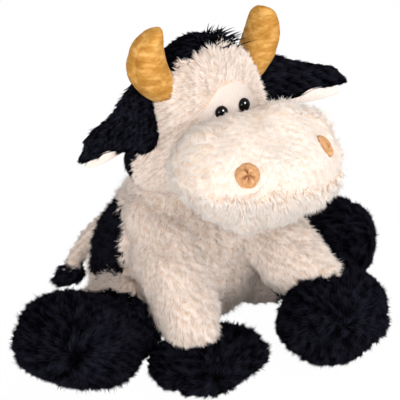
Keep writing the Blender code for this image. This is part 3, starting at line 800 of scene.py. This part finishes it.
def muzzle_edge(points):
    """Distance inwards from the side seam of the front panel, and upwards from its lower seam."""
    aside, _, height = ((points - MUZZLE_CENTRE) / MUZZLE_RADII).T
    edge = MUZZLE_EDGE_SHARE - MUZZLE_EDGE_BEND_SHARE * height ** 2 - MUZZLE_CORNER_SHARE * height ** 6
    across = (edge - np.abs(aside)) * MUZZLE_RADII[0]
    return across, points[:, 2] - MUZZLE_CENTRE[2] + LOWER_SEAM_DROP - LOWER_SEAM_SLOPE * points[:, 0]


def on_front_panel(points):
    """Whether points are in the front panel of the muzzle."""
    across, above = muzzle_edge(points)
    return (across > 0) & (above > 0) & (points[:, 1] < MUZZLE_CENTRE[1] + 0.5 * MUZZLE_RADII[1])


def muzzle_relief(points):
    """Soft dents, and a groove along the seam of the front panel that fades below it."""
    across, above = muzzle_edge(points)
    top = 1 / (1 + np.exp((above - SIDE_SEAM_TOP) / SEAM_FADE))
    side_seam = top * np.exp(-(across / SEAM_WIDTH) ** 2) / (1 + np.exp(-above / SEAM_FADE))
    low_seam = LOW_SEAM_SHARE * np.exp(-(above / SEAM_WIDTH) ** 2) / (1 + np.exp(-across / SEAM_FADE))
    groove = SEAM_DEPTH * np.maximum(side_seam, low_seam)
    chin = CHIN_DRAWN_IN * np.clip(-above / MUZZLE_RADII[2], 0, 1)
    return 0.0012 * waves(points, 0.05, 13)[0] + fuller_near(points, BRIDGE, BROW) - groove - chin


muzzle_surface = covering(muzzle, PILE_ROOT, muzzle_relief, muzzle_drawn_in)
cover("muzzle_cover", muzzle_surface, ["muzzle_skin"], "head", "cream_fur")
NOSTRIL_DIAMETER = 0.023
NOSTRIL_ALONG = 0.50
NOSTRIL_WIDTH_SHARES = {"right": 1.0, "left": 0.68}
NOSTRIL_DEGREES = {"right": 32, "left": 37}
nostril_places = {side: form_point(muzzle, NOSTRIL_ALONG * sign, NOSTRIL_DEGREES[side])
                  for side, sign in SIDES.items()}
muzzle_nap = away_from((0, -0.150, 0.262), 0.05)


def in_nostril(points):
    """Whether points are under one of the nostrils."""
    apart = [np.linalg.norm(points - place, axis=1) for place in nostril_places.values()]
    return np.min(apart, axis=0) < NOSTRIL_DIAMETER * 0.46


in_muzzle = [(head, 0.004), (torso, JOINT_OVERLAP)]
fur(
    "muzzle_front_fur", "head", "cream_fur", muzzle_surface, muzzle_nap, pale_plush, 51,
    only=lambda points: on_front_panel(points) & ~in_nostril(points), hidden=in_muzzle, length=0.0048,
    lean=0.87, clump=0.18, ruffle=0.05, per_area=1.9e6, width=0.0009, own=0.2,
)
for side, sign in SIDES.items():
    fur(
        f"muzzle_side_fur_{side}", "head", "cream_fur", muzzle_surface, muzzle_nap, pale_plush, 53 + sign,
        only=lambda points: (points[:, 0] * sign > 0) & ~on_front_panel(points), hidden=in_muzzle,
        length=lambda roots: np.where(muzzle_edge(roots)[1] < 0, CHIN_FUR_LENGTH, 0.0068),
        lean=0.78, clump=1.2, clump_spacing=0.011, ruffle=0.14, own=0.5,
    )
random = np.random.default_rng(55)
share = random.uniform(-0.86, 0.86, FRINGE_STRANDS)
seam_z = LOWER_SEAM_SLOPE * share * MUZZLE_RADII[0] - LOWER_SEAM_DROP
around = seam_z / MUZZLE_RADII[2] + 0.10 * random.normal(size=FRINGE_STRANDS) - 0.05
roots = muzzle_surface(share, around)
normal = outward(muzzle_surface, share, around)
slope = waves(roots, 0.010, 56)[1]
slope = slope / np.linalg.norm(slope, axis=1, keepdims=True)
aims = unit(normal * 0.65 + [0, 0, -0.65] + slope * 0.7 + random.normal(size=(FRINGE_STRANDS, 3)) * 0.2)
droop = np.tile([0, 0, -0.35], (FRINGE_STRANDS, 1))
lengths = FRINGE_LENGTH * random.uniform(0.6, 1.1, FRINGE_STRANDS)
long_strands("chin_fringe", pale_plush, "cream_fur", roots, aims, droop, lengths, 0.0012, 57, steps=2)

# Eye panel
# A smooth short-pile arch let into the face above the muzzle, which carries both eyes.

EYE_PANEL_THICKNESS = 0.0014
EYE_PANEL_DEPTH, EYE_PANEL_EDGE_DEPTH = 0.0012, 0.0042


def on_face(x, z, depth):
    """Points of the head's front at places seen from the front, sunk along the way back."""
    level = 1 - (x / HEAD_RADII[0]) ** 2 - ((z - HEAD_CENTRE[2]) / HEAD_RADII[2]) ** 2
    y = HEAD_CENTRE[1] - HEAD_RADII[1] * np.sqrt(np.clip(level, 0, 1)) + depth
    return np.stack([x, y, z], -1)


def eye_panel_surface(along, around):
    """A thin sheet on the face: radius share sqrt(1 - h^2) at an angle, sunk with the share to the 8th."""
    radius = np.sqrt(np.clip(1 - along * along, 0, 1))
    x = EYE_PANEL_CENTRE[0] + EYE_PANEL_RADII[0] * radius * np.cos(around)
    z = EYE_PANEL_CENTRE[1] + EYE_PANEL_RADII[1] * radius * np.sin(around)
    sunk = EYE_PANEL_DEPTH + (EYE_PANEL_EDGE_DEPTH - EYE_PANEL_DEPTH) * radius ** 8
    return on_face(x, z, sunk - EYE_PANEL_THICKNESS / 2 * along)


panel_cloth = mottled("eye_panel_cloth", (0.60, 0.515, 0.46), (0.67, 0.585, 0.53), 0.0016, 0.9, 0.0003)
eye_panel = closed_skin("eye_panel", eye_panel_surface, panel_cloth, sides=64, rings=32)
dress(eye_panel, "head", "eye_panel_pile", ["eye_panel"])

# Eyes and their washers
# Turned black plastic domes with a stem through the panel, locked behind the cloth by a pressed washer.

EYE_RADIUS, EYE_TOP_SHARE = 0.0065, 0.97
EYE_DOME = 0.005
EYE_STEM_RADIUS = 0.002
EYE_STEM_LENGTH = 0.012
EYE_FORWARD = 0.0006
EYES_SET_DOWN = {"right": 0.0031, "left": 0.0012}
EYES_MOVED = {"right": 0.0, "left": -0.0022}


def turned(name, profile, point, axis, material, sides=48):
    """A profile of radii and distances turned about an axis, closed at both ends."""
    axis = unit(np.array(axis))
    wide = unit(np.cross(axis, [0, 0, 1]))
    deep = np.cross(axis, wide)
    radius, along = np.array(profile).T
    angle = 2 * pi * np.arange(sides) / sides
    spokes = wide * np.cos(angle)[:, None] + deep * np.sin(angle)[:, None]
    points = point + radius[:, None, None] * spokes + along[:, None, None] * axis
    side, after, quads = ring_faces(sides, len(profile))
    caps = np.concatenate([side[::-1], (len(profile) - 1) * sides + side])
    sizes = np.concatenate([np.full(len(quads), 4), [sides, sides]])
    return mesh_piece(name, points.reshape(-1, 3), np.concatenate([quads.ravel(), caps]), sizes, material)


eye_plastic = principled("eye_plastic", (0.002, 0.002, 0.002), 0.06, specular=0.12)[0]
washer_plastic = mottled("washer_plastic", (0.60, 0.60, 0.57), (0.74, 0.74, 0.71), 0.002, 0.35, 0.0001)
for side, sign in SIDES.items():
    low, high = (np.array(corner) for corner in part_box("eye_" + side))
    x = (low[0] + high[0]) / 2 + EYES_MOVED[side]
    z = high[2] - EYE_RADIUS * EYE_TOP_SHARE - EYES_SET_DOWN[side]
    place = on_face(np.array([x]), np.array([z]), 0.0)[0]
    out = unit((place - HEAD_CENTRE) / HEAD_RADII ** 2)
    seat = place + out * EYE_FORWARD
    angle = np.linspace(0, pi / 2 * 0.985, 14)
    dome = [(EYE_RADIUS * cos(a), EYE_DOME * sin(a)) for a in angle]
    rim = [(EYE_RADIUS * 0.96, -0.0010), (EYE_RADIUS, -0.0005)]
    profile = [(EYE_STEM_RADIUS, -EYE_STEM_LENGTH), (EYE_STEM_RADIUS, -0.0010), *rim, *dome]
    eye = turned("safety_eye_" + side, profile, seat, out, eye_plastic)
    dress(eye, "head", "eye_plastic", ["eye_" + side])
    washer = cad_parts["eye_washer_" + side]
    washer.data.materials.clear()
    washer.data.materials.append(washer_plastic)

# Nostrils
# A disc of tan velour gathered with a thread into puckered pillows that meet in the middle.

NOSTRIL_RISES = {"right": 0.0060, "left": 0.0022}
NOSTRIL_FOLD_WIDTH, NOSTRIL_FOLD_DEPTH, NOSTRIL_EDGE_NOTCH = 0.035, 0.95, 0.07
NOSTRIL_MIDDLE_DEPTH, NOSTRIL_MIDDLE_RADIUS = 0.85, 0.16
NOSTRIL_EDGE_RISE, NOSTRIL_BACK_DEPTH, NOSTRIL_SUNK = 0.0012, 0.003, 0.0005
NOSTRIL_FOLDS = {"right": (118, 205, 262, 322), "left": (62, 335, 278, 218)}
velour = mottled("nostril_velour", (0.46, 0.23, 0.10), (0.58, 0.33, 0.17), 0.003, 0.85, 0.0002)


def nostril_surface(side):
    """A cushion with folds: its height drops by a Gaussian of the angle to each fold, and at its middle."""
    place = nostril_places[side]
    along, angle = np.array([NOSTRIL_ALONG * SIDES[side]]), np.array([radians(NOSTRIL_DEGREES[side])])
    out = form_normals(muzzle, along, angle)[0]
    across = unit(np.cross([0, 0, 1], out))
    up = np.cross(out, across)
    across = across * NOSTRIL_WIDTH_SHARES[side]
    folds = np.radians(NOSTRIL_FOLDS[side])

    def surface(along, around):
        radius = np.sqrt(np.clip(1 - along * along, 0, 1))
        near = np.cos(around[..., None] - folds)
        fold = np.exp((near - 1) / NOSTRIL_FOLD_WIDTH).sum(-1)
        edge = 1 - NOSTRIL_EDGE_NOTCH * fold
        middle = NOSTRIL_MIDDLE_DEPTH * np.exp(-(radius / NOSTRIL_MIDDLE_RADIUS) ** 2)
        puckered = 1 - NOSTRIL_FOLD_DEPTH * fold * np.clip(1.3 - radius, 0, 1)
        front = NOSTRIL_RISES[side] * (1 - radius ** 4) * (1 - middle) * puckered + NOSTRIL_EDGE_RISE
        rise = np.where(along > 0, front, -NOSTRIL_BACK_DEPTH * np.abs(along))
        flat = radius * edge * NOSTRIL_DIAMETER / 2
        spot = place + across * (flat * np.cos(around))[..., None] + up * (flat * np.sin(around))[..., None]
        local = (spot - MUZZLE_CENTRE) / MUZZLE_RADII
        sink = (np.sqrt((local ** 2).sum(-1)) - 1) * 0.05
        return spot + out * (rise - sink - NOSTRIL_SUNK)[..., None]

    return surface


for side in SIDES:
    nostril = closed_skin("nostril_disc_" + side, nostril_surface(side), velour, sides=120, rings=56)
    dress(nostril, "head", "nostril_velour", ["nostril_" + side])

# Horns
# Two curved horns of tan velour, turned and stuffed, with one seam down the outer side.
# Their short nap is brushed this way and that, which leaves lighter and darker streaks.

HORN_SEAM_DEPTH, HORN_SEAM_SPREAD = 0.0007, 0.004
HORN_SEAM_DEGREES = {"right": 200, "left": -20}


def brushed_velour(name, dark, light, pale):
    """Velour: broad patches where the nap lies over, and fine streaks, both as stretched noise."""
    material, tree, shader = principled(name, light, 0.75, sheen=0.10)
    shader.inputs["Sheen Tint"].default_value = (1.0, 0.85, 0.6, 1)
    place = add_node(tree, "TexCoord")
    stretch = add_node(tree, "Mapping", {"Scale": (1.0, 1.0, 2.2), "Rotation": (0.3, 0.5, 0)})
    patches = add_node(tree, "TexNoise", {"Scale": 70, "Detail": 5, "Roughness": 0.62})
    ramp = add_ramp(tree, (0.32, dark), (0.70, pale), (0.5, light))
    fine = add_node(tree, "TexNoise", {"Scale": 900})
    relief = add_node(tree, "Bump", {"Distance": 0.0003})
    join(
        tree,
        (place, "Object", stretch, "Vector"),
        (stretch, "Vector", patches, "Vector"),
        (place, "Object", fine, "Vector"),
        (patches, "Fac", ramp, "Fac"),
        (ramp, "Color", shader, "Base Color"),
        (fine, "Fac", relief, "Height"),
        (relief, "Normal", shader, "Normal"),
    )
    return material


horn_velour = brushed_velour("horn_velour", (0.34, 0.145, 0.025), (0.48, 0.235, 0.052), (0.68, 0.40, 0.14))


def horn_surface(form, seam_degrees):
    """A horn with a narrow groove along one angle, and soft dents."""

    def surface(along, around):
        points = form_points(form, along, around)
        normal = form_normals(form, along, around)
        apart = 1 - np.cos(around - radians(seam_degrees))
        groove = HORN_SEAM_DEPTH * np.exp(-apart / HORN_SEAM_SPREAD)
        dent = 0.0003 * waves(points, 0.025, 14)[0] + 0.0001 * waves(points, 0.008, 15)[0]
        return points + normal * (dent - groove)[..., None]

    return surface


for side in SIDES:
    surface = horn_surface(horn_forms[side], HORN_SEAM_DEGREES[side])
    horn = closed_skin("velour_horn_" + side, surface, horn_velour, sides=144, rings=96)
    dress(horn, "head", "tan_velour", ["horn_" + side])

# Ears
# Leaves of black plush with a pale short-pile lining, sewn in below the horns, which hang out sideways.

EAR_LENGTH, EAR_LINING_LENGTH = 0.112, 0.102
EAR_ROOT = 0.010
EAR_HALF_WIDTH = 0.032
EAR_BACK_THICKNESS = 0.007
EAR_CUP = 0.006
EAR_SHORTENED = {"right": 0.007, "left": 0.002}
EAR_LOBES = {"right": 0.020, "left": 0.003}
EAR_LOBE_REACH_SHARE, EAR_LOBE_PLACE = 0.45, -0.85
EAR_NARROW_PLACE, EAR_NARROW_WIDTH = 0.02, 0.12
EAR_TIP_SHARE, EAR_TIP_FUR, EAR_FUR = 0.42, 0.0035, 0.0065
EAR_UPPER_SHARES = {"right": 0.38, "left": 0.62}
EAR_LOWER_SHARES = {"right": 0.92, "left": 0.72}
EAR_LINING_SHORTENED = {"right": 0.018, "left": 0.010}
EAR_LIP_DROPS = {"right": 0.016, "left": 0.013}
EAR_LIP_HALF_THICKNESS = 0.0045
EAR_HANG = {"right": -0.18, "left": -0.12}
lining_cloth = mottled("ear_lining_cloth", (0.82, 0.69, 0.62), (0.92, 0.81, 0.75), 0.0015, 0.9, 0.0003)


def ear_surface(form, depth, upper_share, lower_share, lobe_move):
    """An ear with a lobe at its lower root, narrower past its root by a share above and a share below.

    The lobe is moved by -cos a where that is positive, as a Gaussian of the place along the ear.
    """
    surface = covering(form, depth)

    def shaped(along, around):
        across = np.cos(around)
        swell = (1 - along * along) ** (form["fullness"] / 2) * (1 - form["taper"] * along)
        past_root = 1 + np.exp(-(along - EAR_NARROW_PLACE) / EAR_NARROW_WIDTH)
        narrowed = (np.where(across > 0, upper_share, lower_share) - 1) / past_root
        lobe = np.exp(-((along - EAR_LOBE_PLACE) / EAR_LOBE_REACH_SHARE) ** 2) * np.clip(-across, 0, 1)
        moved = (across * swell * narrowed)[..., None] * form["wide"]
        return surface(along, around) + moved + lobe[..., None] * lobe_move

    return shaped


for side, sign in SIDES.items():
    hinge = form_point(head, 0.34, 90 - 94 * sign)
    out = unit(np.array([0.943 * sign, -0.276, EAR_HANG[side]]))
    edge = unit(np.array([-0.55 * sign, 0.33, 0.75]))
    face = unit(np.cross(out, edge)) * sign
    length = EAR_LENGTH - EAR_SHORTENED[side]
    centre = hinge + out * (length / 2 - EAR_ROOT)
    back = soft_form(
        centre=centre,
        reach=out * length / 2,
        wide=edge * EAR_HALF_WIDTH,
        deep=face * EAR_BACK_THICKNESS / 2,
        taper=0.34,
        fullness=0.22,
        cup=-face * EAR_CUP,
    )
    under = EAR_BACK_THICKNESS / 2 + EAR_LIP_HALF_THICKNESS - 0.001
    lining = {
        **back,
        "centre": centre - face * under - edge * EAR_LIP_DROPS[side] - out * EAR_LINING_SHORTENED[side] / 2,
        "reach": out * (EAR_LINING_LENGTH - EAR_LINING_SHORTENED[side]) / 2,
        "wide": edge * (EAR_HALF_WIDTH - 0.003),
        "deep": face * EAR_LIP_HALF_THICKNESS,
    }
    body = "ear_" + side
    lobe_move = EAR_LOBES[side] * unit(np.array([-0.45 * sign, -0.60, -0.66]))
    back_surface = ear_surface(back, 0.0015, EAR_UPPER_SHARES[side], EAR_LOWER_SHARES[side], lobe_move)
    lining_surface = ear_surface(lining, 0.0008, EAR_UPPER_SHARES[side], 1.0, 0 * lobe_move)
    cover(f"ear_cover_{side}", back_surface, [f"ear_back_{side}"], body, "black_fur", everywhere, 48, 48)
    fur(
        f"ear_fur_{side}", body, "black_fur", back_surface, one_way(out), black_plush,
        71 + sign, hidden=[(head, 0.002), (horn_forms[side], 0.002), (lining, 0.003)], per_area=1.5e6,
        length=lambda roots: np.where((roots - centre) @ out > EAR_TIP_SHARE * length, EAR_TIP_FUR, EAR_FUR),
        lean=0.84, clump=0.2, own=0.6,
    )
    pale = closed_skin(f"ear_lining_cloth_{side}", lining_surface, lining_cloth, 48, 48)
    dress(pale, body, "short_pile", [f"ear_lining_{side}"])

# Forelegs
# A cream tube and a black hoof with a pad sewn into its front, stuffed as one and sewn on at the shoulder.

PAD_SEAM_DEPTH, PAD_SEAM_WIDTH = 0.003, 0.005
DIMPLE_DEPTH, DIMPLE_RADIUS = 0.003, 0.014
SOCK_FULLNESS, SOCK_EDGE_WIDTH = 0.003, 0.002


def hoof_relief(form, facing, seam_share, dimple, seed):
    """Soft dents, a groove where the pad's edge is sewn in, and a dimple in the pad."""
    facing = unit(np.array(facing, float))
    reach = min(np.linalg.norm(form["reach"]), np.linalg.norm(form["deep"]))
    seam = form["centre"] + facing * reach * seam_share

    def relief(points):
        groove = PAD_SEAM_DEPTH * np.exp(-((points - seam) @ facing / PAD_SEAM_WIDTH) ** 2)
        hollow = DIMPLE_DEPTH * np.exp(-(np.linalg.norm(points - dimple, axis=1) / DIMPLE_RADIUS) ** 2)
        return 0.0018 * waves(points, 0.06, seed)[0] - groove - hollow

    return relief


def limb(kind, side, leg, dressed, hoof, facing, seam_share, dimple, sock_share, leg_nap, seed, has_sock):
    """A leg and its hoof: two covers and their pile, cut where the one lies in the other.

    The leg is black, as a sock, past a share of the way from its middle to its lower end.
    """
    body = f"{kind}leg_{side}"
    axis = unit(leg["reach"])

    def past_sock_edge(points):
        wander = PANEL_EDGE * waves(points, PANEL_EDGE_SPACING, seed)[0]
        return (points - leg["centre"]) @ axis - sock_share * np.linalg.norm(leg["reach"]) + wander

    def leg_relief(points):
        fuller = SOCK_FULLNESS / (1 + np.exp(np.clip(-past_sock_edge(points) / SOCK_EDGE_WIDTH, -50, 50)))
        return 0.0014 * waves(points, 0.045, seed)[0] + fuller + fillet([torso], points)

    def in_sock(points):
        return past_sock_edge(points) > 0

    leg_surface = covering(dressed, PILE_ROOT, leg_relief)
    hoof_surface = covering(hoof, PILE_ROOT, hoof_relief(hoof, facing, seam_share, dimple, seed + 1))
    cover(f"{kind}leg_cover_{side}", leg_surface, [f"{kind}leg_skin_{side}"], body, "cream_fur", in_sock)
    hoof_nodes = [f"{kind}_hoof_{side}", f"{kind}_sole_{side}"]
    cover(f"{kind}_hoof_cover_{side}", hoof_surface, hoof_nodes, body, "black_fur", everywhere)
    in_others = [(torso, JOINT_OVERLAP), (hoof, 0.003)]
    fur(
        f"{kind}leg_fur_{side}", body, "cream_fur", leg_surface, leg_nap, cream_plush, seed + 2,
        only=lambda points: ~in_sock(points), hidden=in_others, clump=0.55, clump_spacing=0.007, ruffle=0.12,
    )
    if has_sock:
        fur(
            f"{kind}_sock_fur_{side}", body, "black_fur", leg_surface, leg_nap, black_plush, seed + 6,
            only=in_sock, hidden=in_others, per_area=1.1e6, clump=0.4, own=0.6,
        )
    fur(
        f"{kind}_hoof_fur_{side}", body, "black_fur", hoof_surface, away_from(dimple, 0.1), black_plush,
        seed + 3, hidden=[(torso, JOINT_OVERLAP), (dressed, 0.003)], per_area=1.15e6, length=0.0075,
        clump=0.55, clump_spacing=0.010, ruffle=0.10, own=0.6,
    )
    fibre_filling(f"{kind}leg_fibre_{side}", dressed, [f"{kind}leg_filling_{side}"], body, seed + 4)
    fibre_filling(f"{kind}_hoof_fibre_{side}", hoof, [], body, seed + 5)


FORE_DIMPLES = {"right": np.array([-0.0875, -0.205, 0.037]), "left": np.array([0.036, -0.242, 0.065])}
for side, sign in SIDES.items():
    down_leg = unit(forelegs[side]["reach"])
    limb(
        "fore", side, forelegs[side], foreleg_covers[side], fore_hooves[side], (-0.1 * sign, -0.8, -0.6), 0.5,
        FORE_DIMPLES[side], 2.0, one_way(down_leg), 80 + 10 * sign, False,
    )

# Hind legs
# Short cream thighs with the largest hooves, spread to the sides, their pads turned forward and out.

for side, sign in SIDES.items():
    hoof = hind_hooves[side]
    along_thigh = unit(thighs[side]["reach"])
    dimple = hoof["centre"] + np.array([0.035 * sign, -0.044, 0.014])
    limb(
        "hind", side, thighs[side], thigh_covers[side], hoof, (0.58 * sign, -0.54, -0.61), 0.0, dimple, 0.10,
        one_way(along_thigh - np.array([0, 0, 0.3])), 120 + 10 * sign, True,
    )

# Tail
# A thin cord of short cream plush, sewn in low on the back, with a black tuft on its end.

TAIL_RADIUS = 0.0065
TUFT_MOVED = np.array([-0.0055, 0.0044, 0])
TUFT_HALF_LENGTH, TUFT_RADIUS = 0.019, 0.013
tail_root = form_point(torso, -0.10, 90)
tail_end = np.array([-0.054, tail_root[1] + 0.042, TUFT_RADIUS]) + TUFT_MOVED
along = tail_end - tail_root
across = unit(np.cross(along, [0, 0, 1]))
cord = soft_form(
    centre=(tail_root + tail_end) / 2,
    reach=along / 2,
    wide=across * TAIL_RADIUS,
    deep=unit(np.cross(along, across)) * TAIL_RADIUS,
    fullness=0.2,
    bow=unit(np.array([0, 1, 1.0])) * 0.014,
)
lie = unit(np.array([-0.9, 0.1, -0.3]))
tuft_across = unit(np.cross(lie, [0, 0, 1]))
tuft = soft_form(
    centre=tail_end,
    reach=lie * TUFT_HALF_LENGTH,
    wide=tuft_across * TUFT_RADIUS,
    deep=np.cross(lie, tuft_across) * TUFT_RADIUS,
    taper=0.25,
    fullness=0.8,
)
cord_surface, tuft_surface = covering(cord, -0.0012), covering(tuft, 0.003)
cover("tail_cover", cord_surface, ["tail_cord"], "tail", "cream_fur", None, 32, 48)
cover("tuft_cover", tuft_surface, ["tail_tuft"], "tail", "black_fur", everywhere, 32, 24)
fur(
    "tail_fur", "tail", "cream_fur", cord_surface, one_way(along), cream_plush, 151,
    hidden=[(torso, 0.003), (tuft, 0.003)], length=0.006, width=0.0009, per_area=1.8e6, lean=0.72,
)
fur(
    "tuft_fur", "tail", "black_fur", tuft_surface, one_way(lie), black_plush, 152,
    length=0.009, per_area=1.6e6, lean=0.75, clump=0.6, own=0.6,
)

# Studio
# A white floor that runs on as a white backdrop. The broadest and strongest lamp stands at the toy's right,
# weaker ones in front and above, and two lamps more are mirrored in the eyes alone.

TARGET = Vector((0, -0.064, 0.1417))
VIEW_AZIMUTH, VIEW_ELEVATION, VIEW_DISTANCE = -38.7, 23.9, 1.150
SENSOR = 36
IMAGE_WIDTH = 400
PIXELS_PER_METRE = 1000
lens = bpy.data.cameras.new("camera")
lens.sensor_width = SENSOR
lens.lens = SENSOR * VIEW_DISTANCE * PIXELS_PER_METRE / IMAGE_WIDTH
camera = bpy.data.objects.new("camera", lens)
bpy.context.scene.collection.objects.link(camera)
turn = Matrix.Rotation(radians(VIEW_AZIMUTH), 3, "Z") @ Matrix.Rotation(radians(90 - VIEW_ELEVATION), 3, "X")
camera.matrix_world = Matrix.Translation(TARGET + turn @ Vector((0, 0, VIEW_DISTANCE))) @ turn.to_4x4()
bpy.context.scene.camera = camera
bpy.context.scene.view_settings.view_transform = "Standard"


def backdrop_share(tree):
    """A node that is 1 for camera, glossy and transmission rays, which see pure white, and 0 for the rest."""
    path = add_node(tree, "LightPath")
    last, output = path, "Is Camera Ray"
    for ray in ("Is Glossy Ray", "Is Transmission Ray"):
        larger = add_node(tree, "Math")
        larger.operation = "MAXIMUM"
        join(tree, (last, output, larger, 0), (path, ray, larger, 1))
        last, output = larger, "Value"
    return last


AMBIENT = 0.44
world = bpy.data.worlds.new("studio")
world.use_nodes = True
tree = world.node_tree
sky = tree.nodes["Background"]
sky.inputs["Color"].default_value = (1, 1, 1, 1)
level = add_node(tree, "MapRange", {"To Min": AMBIENT, "To Max": 1.0})
join(tree, (backdrop_share(tree), "Value", level, "Value"), (level, "Result", sky, "Strength"))
bpy.context.scene.world = world


def soft_lamp(name, place, size, watts, in_eyes_alone=False):
    """A square lamp of a size that faces the toy, or one that is only mirrored in its eyes."""
    light = bpy.data.lights.new(name, "AREA")
    light.energy = watts
    light.size = size
    lamp = bpy.data.objects.new(name, light)
    facing = (TARGET - Vector(place)).to_track_quat("-Z", "Y").to_matrix().to_4x4()
    lamp.matrix_world = Matrix.Translation(place) @ facing
    lamp.visible_glossy = in_eyes_alone
    lamp.visible_diffuse = not in_eyes_alone
    bpy.context.scene.collection.objects.link(lamp)


soft_lamp("key", (0.75, -1.45, 1.00), 0.7, 11)
soft_lamp("top", (0.1, -0.5, 1.9), 1.5, 11)
soft_lamp("front", (-1.85, -1.05, 0.55), 1.3, 24)
soft_lamp("high", (-0.35, -1.40, 1.25), 1.0, 6)
soft_lamp("low", (-0.30, -1.75, 0.20), 1.0, 8)
soft_lamp("sparkle", (0.38, -1.68, 1.27), 0.7, 200, in_eyes_alone=True)
soft_lamp("side_sparkle", (-1.60, -0.93, 0.81), 0.6, 30, in_eyes_alone=True)

FLOOR_RADIUS, FLOOR_SIDES, FLOOR_LEVEL = 6.0, 96, -0.0006
FLOOR_WHITE_SHARE = 0.985
floor_material, tree, paint = principled("floor", (0.95, 0.95, 0.95), 1.0, specular=0.5)
white = add_node(tree, "Emission")
mix = add_node(tree, "MixShader")
shown = add_node(tree, "Math", {1: FLOOR_WHITE_SHARE})
shown.operation = "MULTIPLY"
join(
    tree,
    (backdrop_share(tree), "Value", shown, 0),
    (shown, "Value", mix, "Fac"),
    (paint, "BSDF", mix, 1),
    (white, "Emission", mix, 2),
    (mix, "Shader", tree.nodes["Material Output"], "Surface"),
)
angle = 2 * pi * np.arange(FLOOR_SIDES) / FLOOR_SIDES
level = np.full(FLOOR_SIDES, FLOOR_LEVEL)
rim = np.stack([FLOOR_RADIUS * np.cos(angle), FLOOR_RADIUS * np.sin(angle), level], 1)
floor = mesh_piece("floor", rim, np.arange(FLOOR_SIDES), np.array([FLOOR_SIDES]), floor_material)
floor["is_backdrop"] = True

sizes = {"cad": cad_box, "visual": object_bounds()}
sizes = {name: [[float(x) for x in corner] for corner in box] for name, box in sizes.items()}
